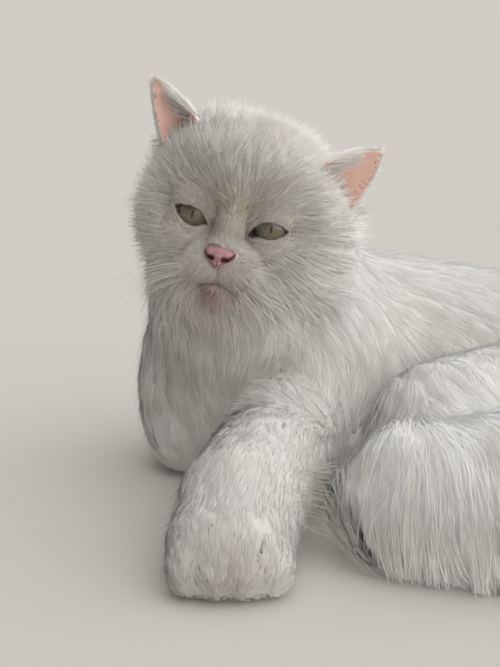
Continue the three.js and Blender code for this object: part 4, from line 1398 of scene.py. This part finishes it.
# painted shade: darker along the furrow of the column between the nostrils
k = (np.exp(-((nv[:, 0] - NOSE_X) / 0.5) ** 2) * smooth(-17, -19, nv[:, 2]))[:, None] * 0.45
ncol = ncol * (1 - k) + np.array([0.26, 0.09, 0.09]) * k
n = noise(nv * 1.0, 3.0, 3)[:, :1]
ncol = ncol * (1 + 0.10 * n)
paint(nose, ncol)
m, nt, b = principled("nose_leather")
b.inputs["Roughness"].default_value = 0.42
b.inputs["Specular IOR Level"].default_value = 0.45
b.inputs["Coat Weight"].default_value = 0.12
b.inputs["Coat Roughness"].default_value = 0.25
at = node(nt, "ShaderNodeAttribute", attribute_name="tint")
nt.links.new(at.outputs["Color"], b.inputs["Base Color"])
co = node(nt, "ShaderNodeTexCoord")
vo = node(nt, "ShaderNodeTexVoronoi", Scale=1500.0, feature="DISTANCE_TO_EDGE")
nt.links.new(co.outputs["Object"], vo.inputs["Vector"])
bp = node(nt, "ShaderNodeBump", Strength=0.35, Distance=0.00025)
nt.links.new(vo.outputs["Distance"], bp.inputs["Height"])
nt.links.new(bp.outputs["Normal"], b.inputs["Normal"])
nose.data.materials.append(m)
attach(nose, "root")
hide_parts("nose")

# ------------------------------------------------------------------ eyes
GAZE = {-1: (0.02, -1, -0.05), 1: (0.09, -1, 0.04)}
for s, name in ((-1, "eye_right"), (1, "eye_left")):
    seg, rows = 72, 60
    th = np.linspace(0, math.pi, rows + 1)[1:-1]
    ph = np.linspace(0, 2 * math.pi, seg, endpoint=False)
    bulge = 1.15 * np.clip(1 - (th / math.radians(50)) ** 2, 0, 1) ** 1.2
    R = EYE_R - 0.12 + bulge
    pts = np.stack([np.outer(R * np.sin(th), np.cos(ph)), np.outer(-R * np.cos(th), np.ones(seg)), np.outer(R * np.sin(th), np.sin(ph))], -1).reshape(-1, 3)
    pts = np.concatenate([[[0, -R[0] - 0.002, 0]], pts, [[0, R[-1], 0]]])
    q, t3 = [], []
    for i in range(len(th) - 1):
        for j in range(seg):
            a, b2 = 1 + i * seg + j, 1 + i * seg + (j + 1) % seg
            q.append((a, b2, b2 + seg, a + seg))
    last = 1 + (len(th) - 1) * seg
    tr = [(0, 1 + (j + 1) % seg, 1 + j) for j in range(seg)] + [(len(pts) - 1, last + j, last + (j + 1) % seg) for j in range(seg)]
    q = np.array(q)
    faces = np.concatenate([np.array(tr), q[:, [0, 1, 2]], q[:, [0, 2, 3]]])
    # colours, drawn in the eye's own axes before it is turned to its gaze
    x, z = pts[:, 0], pts[:, 2]
    g = unit(np.array(GAZE[s], float))
    side = unit(np.cross(g, [0, 0, 1]))
    top = np.cross(side, g)
    frame3 = np.stack([side, -g, top], 1) if np.dot(side, [1, 0, 0]) > 0 else np.stack([-side, -g, top], 1)
    world = pts @ frame3.T + np.array([s * EYE_X, EYE_Y, 0])
    eye = new_mesh(name + "_ball", from_head(world), faces)
    me = eye.data
    for nm, val in (("iris_x", x), ("iris_z", z), ("iris_y", pts[:, 1])):
        me.attributes.new(nm, "FLOAT", "POINT").data.foreach_set("value", val.astype(f32))
    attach(eye, "root")
    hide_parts(name)
    EYE_OBJ = eye
    if s == -1:
        m, nt, b = principled("eye_wet")
        b.inputs["Roughness"].default_value = 0.22
        b.inputs["Specular IOR Level"].default_value = 0.5
        b.inputs["Coat Weight"].default_value = 1.0
        b.inputs["Coat Roughness"].default_value = 0.03
        b.inputs["Coat IOR"].default_value = 1.38

        def attr(n):
            return node(nt, "ShaderNodeAttribute", attribute_name=n).outputs["Fac"]

        def math_node(op, a, bb=None, c=None, clamp=False):
            n = node(nt, "ShaderNodeMath", operation=op, use_clamp=clamp)
            for i, v in enumerate((a, bb, c)):
                if v is None:
                    continue
                if isinstance(v, (int, float)):
                    n.inputs[i].default_value = v
                else:
                    nt.links.new(v, n.inputs[i])
            return n.outputs[0]

        def ramp(v, a, bb, lo=0.0, hi=1.0):
            n = node(nt, "ShaderNodeMapRange", interpolation_type="SMOOTHSTEP")
            nt.links.new(v, n.inputs["Value"])
            for key, val in (("From Min", a), ("From Max", bb), ("To Min", lo), ("To Max", hi)):
                n.inputs[key].default_value = val
            return n.outputs["Result"]

        def blend(fac, a, bb):
            n = node(nt, "ShaderNodeMix", data_type="RGBA")
            for key, v in ((0, fac), (6, a), (7, bb)):
                if hasattr(v, "is_linked") or hasattr(v, "links"):
                    nt.links.new(v, n.inputs[key])
                elif isinstance(v, (tuple, list)):
                    n.inputs[key].default_value = (*v, 1)
                else:
                    n.inputs[key].default_value = v
            return n.outputs[2]

        ax_, ay_ = attr("iris_x"), attr("iris_y")
        az_ = math_node("SUBTRACT", attr("iris_z"), 0.7)
        r = math_node("SQRT", math_node("ADD", math_node("MULTIPLY", ax_, ax_), math_node("MULTIPLY", az_, az_)))
        ang = math_node("ARCTAN2", az_, ax_)
        comb = node(nt, "ShaderNodeCombineXYZ")
        nt.links.new(math_node("MULTIPLY", math_node("COSINE", ang), 7.0), comb.inputs[0])
        nt.links.new(math_node("MULTIPLY", math_node("SINE", ang), 7.0), comb.inputs[1])
        nt.links.new(math_node("MULTIPLY", r, 0.35), comb.inputs[2])
        fib = node(nt, "ShaderNodeTexNoise", Scale=2.6, Detail=4.0, Roughness=0.62)
        nt.links.new(comb.outputs[0], fib.inputs["Vector"])
        iris_c = blend(ramp(fib.outputs["Fac"], 0.35, 0.68), (0.085, 0.076, 0.050), (0.185, 0.168, 0.115))
        iris_c = blend(ramp(r, 1.6, 5.6), (0.150, 0.118, 0.062), iris_c)                # warmer round the pupil
        iris_c = blend(ramp(r, 7.6, 8.9), iris_c, (0.030, 0.026, 0.022))              # dark ring at the edge
        # a slit pupil, pointed above and below
        iris_c = blend(ramp(az_, 0.8, 4.2, 0.0, 0.72), iris_c, (0.020, 0.018, 0.014))     # in the shade of the lid
        half = math_node("MULTIPLY", math_node("SUBTRACT", 1.0, math_node("MULTIPLY", math_node("MULTIPLY", az_, az_), 1 / 8.4), clamp=True), 0.78)
        off = math_node("SUBTRACT", math_node("ABSOLUTE", ax_), half)
        pupil = ramp(off, 0.12, -0.28)
        pupil = math_node("MULTIPLY", pupil, ramp(math_node("ABSOLUTE", az_), 3.1, 2.5))
        col = blend(pupil, iris_c, (0.004, 0.004, 0.005))
        white = blend(ramp(r, 8.9, 9.4), col, (0.040, 0.026, 0.024))
        col = blend(ramp(ay_, -7.2, -6.4), white, (0.060, 0.036, 0.032))
        nt.links.new(col, b.inputs["Base Color"])
        EYE_MAT = m
    me.materials.append(EYE_MAT)
note("nose and eyes")

# ------------------------------------------------------------------ whiskers
wv, wf = [], []


def whisker(points, r0, r1, sides=5):
    pts = np.array(points, float)
    n = len(pts)
    t = unit(np.gradient(pts, axis=0))
    ref = np.array([0.1, 0.2, 1.0])
    b1 = unit(np.cross(t, ref))
    b2 = np.cross(b1, t)
    rr = np.linspace(r0, r1, n - 1)
    base = sum(len(v) for v in wv)
    ring = [pts[i] + rr[i] * (math.cos(a) * b1[i] + math.sin(a) * b2[i]) for i in range(n - 1) for a in np.linspace(0, 2 * math.pi, sides, endpoint=False)]
    wv.append(np.array(ring + [pts[-1]]))
    for i in range(n - 2):
        for j in range(sides):
            p, q = base + i * sides + j, base + i * sides + (j + 1) % sides
            wf.extend([(p, q, q + sides), (p, q + sides, p + sides)])
    tip = base + (n - 1) * sides
    for j in range(sides):
        wf.append((base + (n - 2) * sides + j, base + (n - 2) * sides + (j + 1) % sides, tip))
        wf.append((base, base + (j + 1) % sides, base + j)) if 0 < j < sides - 1 else None


wr = np.random.default_rng(31)


def sweep(points, n=14):
    """A smooth line through four points."""
    a, b, c, d = (np.array(q, float) for q in points)
    u = np.linspace(0, 1, n)[:, None]
    t1, t2 = 0.36, 0.70
    return (a * ((u - t1) * (u - t2) * (u - 1)) / (-t1 * -t2 * -1) + b * (u * (u - t2) * (u - 1)) / (t1 * (t1 - t2) * (t1 - 1))
            + c * (u * (u - t1) * (u - 1)) / (t2 * (t2 - t1) * (t2 - 1)) + d * (u * (u - t1) * (u - t2)) / ((1 - t1) * (1 - t2)))


for row in range(3):
    for i in range(4):
        # to the cat's right, a little downward
        p = np.array([-(12 + 3.2 * i) + NOSE_X, -10.5 + 1.3 * i + 0.8 * row, -25 - 3.3 * row - 0.5 * i])
        d = unit(np.array([-1.0, -0.16 + 0.10 * i, -0.30 - 0.13 * row + wr.normal(0, 0.05)]))
        length = wr.uniform(46, 60)
        u = np.linspace(0, 1, 14)[:, None]
        line = p + d * length * u + np.array([0, 0.14, -0.16 + wr.normal(0, 0.04)]) * length * u ** 2.2
        whisker(from_head(line), 0.13, 0.03)
        # to the cat's left, falling in front of the chest
        p = from_head(np.array([12 + 3.0 * i, -10.5 + 1.2 * i + 0.8 * row, -26 - 3.2 * row - 0.4 * i]))
        e = wr.random()
        q1 = p + np.array([9 + 2.0 * i, -13, -9 - 3 * row]) + wr.normal(0, 0.8, 3)
        q2 = np.array([40 + 12 * e + 2 * i, -30, 98 - 9 * row + 4 * i]) + wr.normal(0, 1.5, 3)
        q3 = np.array([47 + 16 * e + 1.5 * i, -27 + 5 * e, 74 - 7 * row + 6 * i]) + wr.normal(0, 2.5, 3)
        whisker(sweep((p, q1, q2, q3)), 0.14, 0.035)
for s in (-1, 1):
    for i in range(4):                                   # above the eye
        p = np.array([s * (17 + 3.5 * i), 1.5, 13.0 - i])
        d = unit(np.array([s * (0.10 + 0.25 * i), -0.45, 0.9]))
        length = wr.uniform(24, 38)
        u = np.linspace(0, 1, 10)[:, None]
        whisker(from_head(p + d * length * u + np.array([s * 0.2, 0.30, -0.15]) * length * u ** 2), 0.10, 0.03)
ob = new_mesh("whiskers", np.concatenate(wv), np.array(wf))
m, nt, b = principled("whisker")
b.inputs["Roughness"].default_value = 0.35
nn = node(nt, "ShaderNodeTexNoise", Scale=60.0)
co = node(nt, "ShaderNodeTexCoord")
nt.links.new(co.outputs["Object"], nn.inputs["Vector"])
mx = node(nt, "ShaderNodeMix", data_type="RGBA")
mx.inputs[6].default_value = (0.86, 0.83, 0.76, 1)
mx.inputs[7].default_value = (0.93, 0.92, 0.88, 1)
nt.links.new(nn.outputs["Fac"], mx.inputs[0])
nt.links.new(mx.outputs[2], b.inputs["Base Color"])
ob.data.materials.append(m)
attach(ob, "root")
note("whiskers")

# ------------------------------------------------------------------ floor, light and camera
HORIZON = (0.636, 0.602, 0.558)
floor = bpy.data.meshes.new("floor")
ring_n = 96
verts = [(0, 0, 0)] + [(40 * math.cos(2 * math.pi * i / ring_n), 40 * math.sin(2 * math.pi * i / ring_n), 0) for i in range(ring_n)]
floor.from_pydata(verts, [], [(0, 1 + i, 1 + (i + 1) % ring_n) for i in range(ring_n)])
floor = bpy.data.objects.new("floor", floor)
bpy.context.scene.collection.objects.link(floor)
m, nt, b = principled("floor_paint")
b.inputs["Roughness"].default_value = 0.9
b.inputs["Specular IOR Level"].default_value = 0.0
b.inputs["Base Color"].default_value = (0.56, 0.54, 0.505, 1)
floor.data.materials.append(m)

scene = bpy.context.scene
# a soft sky: as bright as the floor at the horizon, so that no line shows there
world = bpy.data.worlds.new("soft")
world.use_nodes = True
wt = world.node_tree
bg = wt.nodes["Background"]
co = node(wt, "ShaderNodeTexCoord")
sep = node(wt, "ShaderNodeSeparateXYZ")
wt.links.new(co.outputs["Generated"], sep.inputs[0])
mr = node(wt, "ShaderNodeMapRange", interpolation_type="SMOOTHSTEP")
wt.links.new(sep.outputs[2], mr.inputs["Value"])
mr.inputs["From Min"].default_value = 0.20
mr.inputs["From Max"].default_value = 0.55
mx = node(wt, "ShaderNodeMix", data_type="RGBA")
mx.inputs[6].default_value = (*HORIZON, 1)
mx.inputs[7].default_value = (0.53, 0.515, 0.48, 1)
wt.links.new(mr.outputs["Result"], mx.inputs[0])
dot = node(wt, "ShaderNodeVectorMath", operation="DOT_PRODUCT")
wt.links.new(co.outputs["Generated"], dot.inputs[0])
dot.inputs[1].default_value = (0.78, 0.36, 0.0)
dim = node(wt, "ShaderNodeMapRange", interpolation_type="SMOOTHSTEP")
wt.links.new(dot.outputs["Value"], dim.inputs["Value"])
for key, val in (("From Min", -0.8), ("From Max", 0.02), ("To Min", 0.42), ("To Max", 1.0)):
    dim.inputs[key].default_value = val
wt.links.new(mx.outputs[2], bg.inputs["Color"])
wt.links.new(dim.outputs["Result"], bg.inputs["Strength"])
scene.world = world


def sun(name, toward, angle, power, colour):
    L = bpy.data.lights.new(name, "SUN")
    L.angle = math.radians(angle)
    L.energy = power
    L.color = colour
    o = bpy.data.objects.new(name, L)
    o.location = Vector(toward).normalized() * 2
    o.rotation_euler = Vector(toward).normalized().to_track_quat("Z", "Y").to_euler()
    scene.collection.objects.link(o)
    return o


sun("window", (0.82, 0.10, 0.95), 130, 2.2, (0.985, 0.995, 1.03))
sun("room", (0.95, -0.60, 0.35), 100, 1.0, (1.0, 0.985, 0.95))
scene.cycles.diffuse_bounces = 8
scene.cycles.max_bounces = 12

cam = bpy.data.cameras.new("camera")
cam.sensor_fit = "VERTICAL"
cam.sensor_height = 36
cam.lens = 48.576
cam.clip_start = 0.01
camera = bpy.data.objects.new("camera", cam)
camera.location = (-0.13021, -0.53168, 0.17769)
look = Vector((0, math.cos(math.radians(9)), -math.sin(math.radians(9))))
camera.rotation_euler = look.to_track_quat("-Z", "Y").to_euler()
scene.collection.objects.link(camera)
scene.camera = camera
scene.view_settings.view_transform = "Standard"
scene.view_settings.exposure = 0.0

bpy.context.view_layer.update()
note("done")
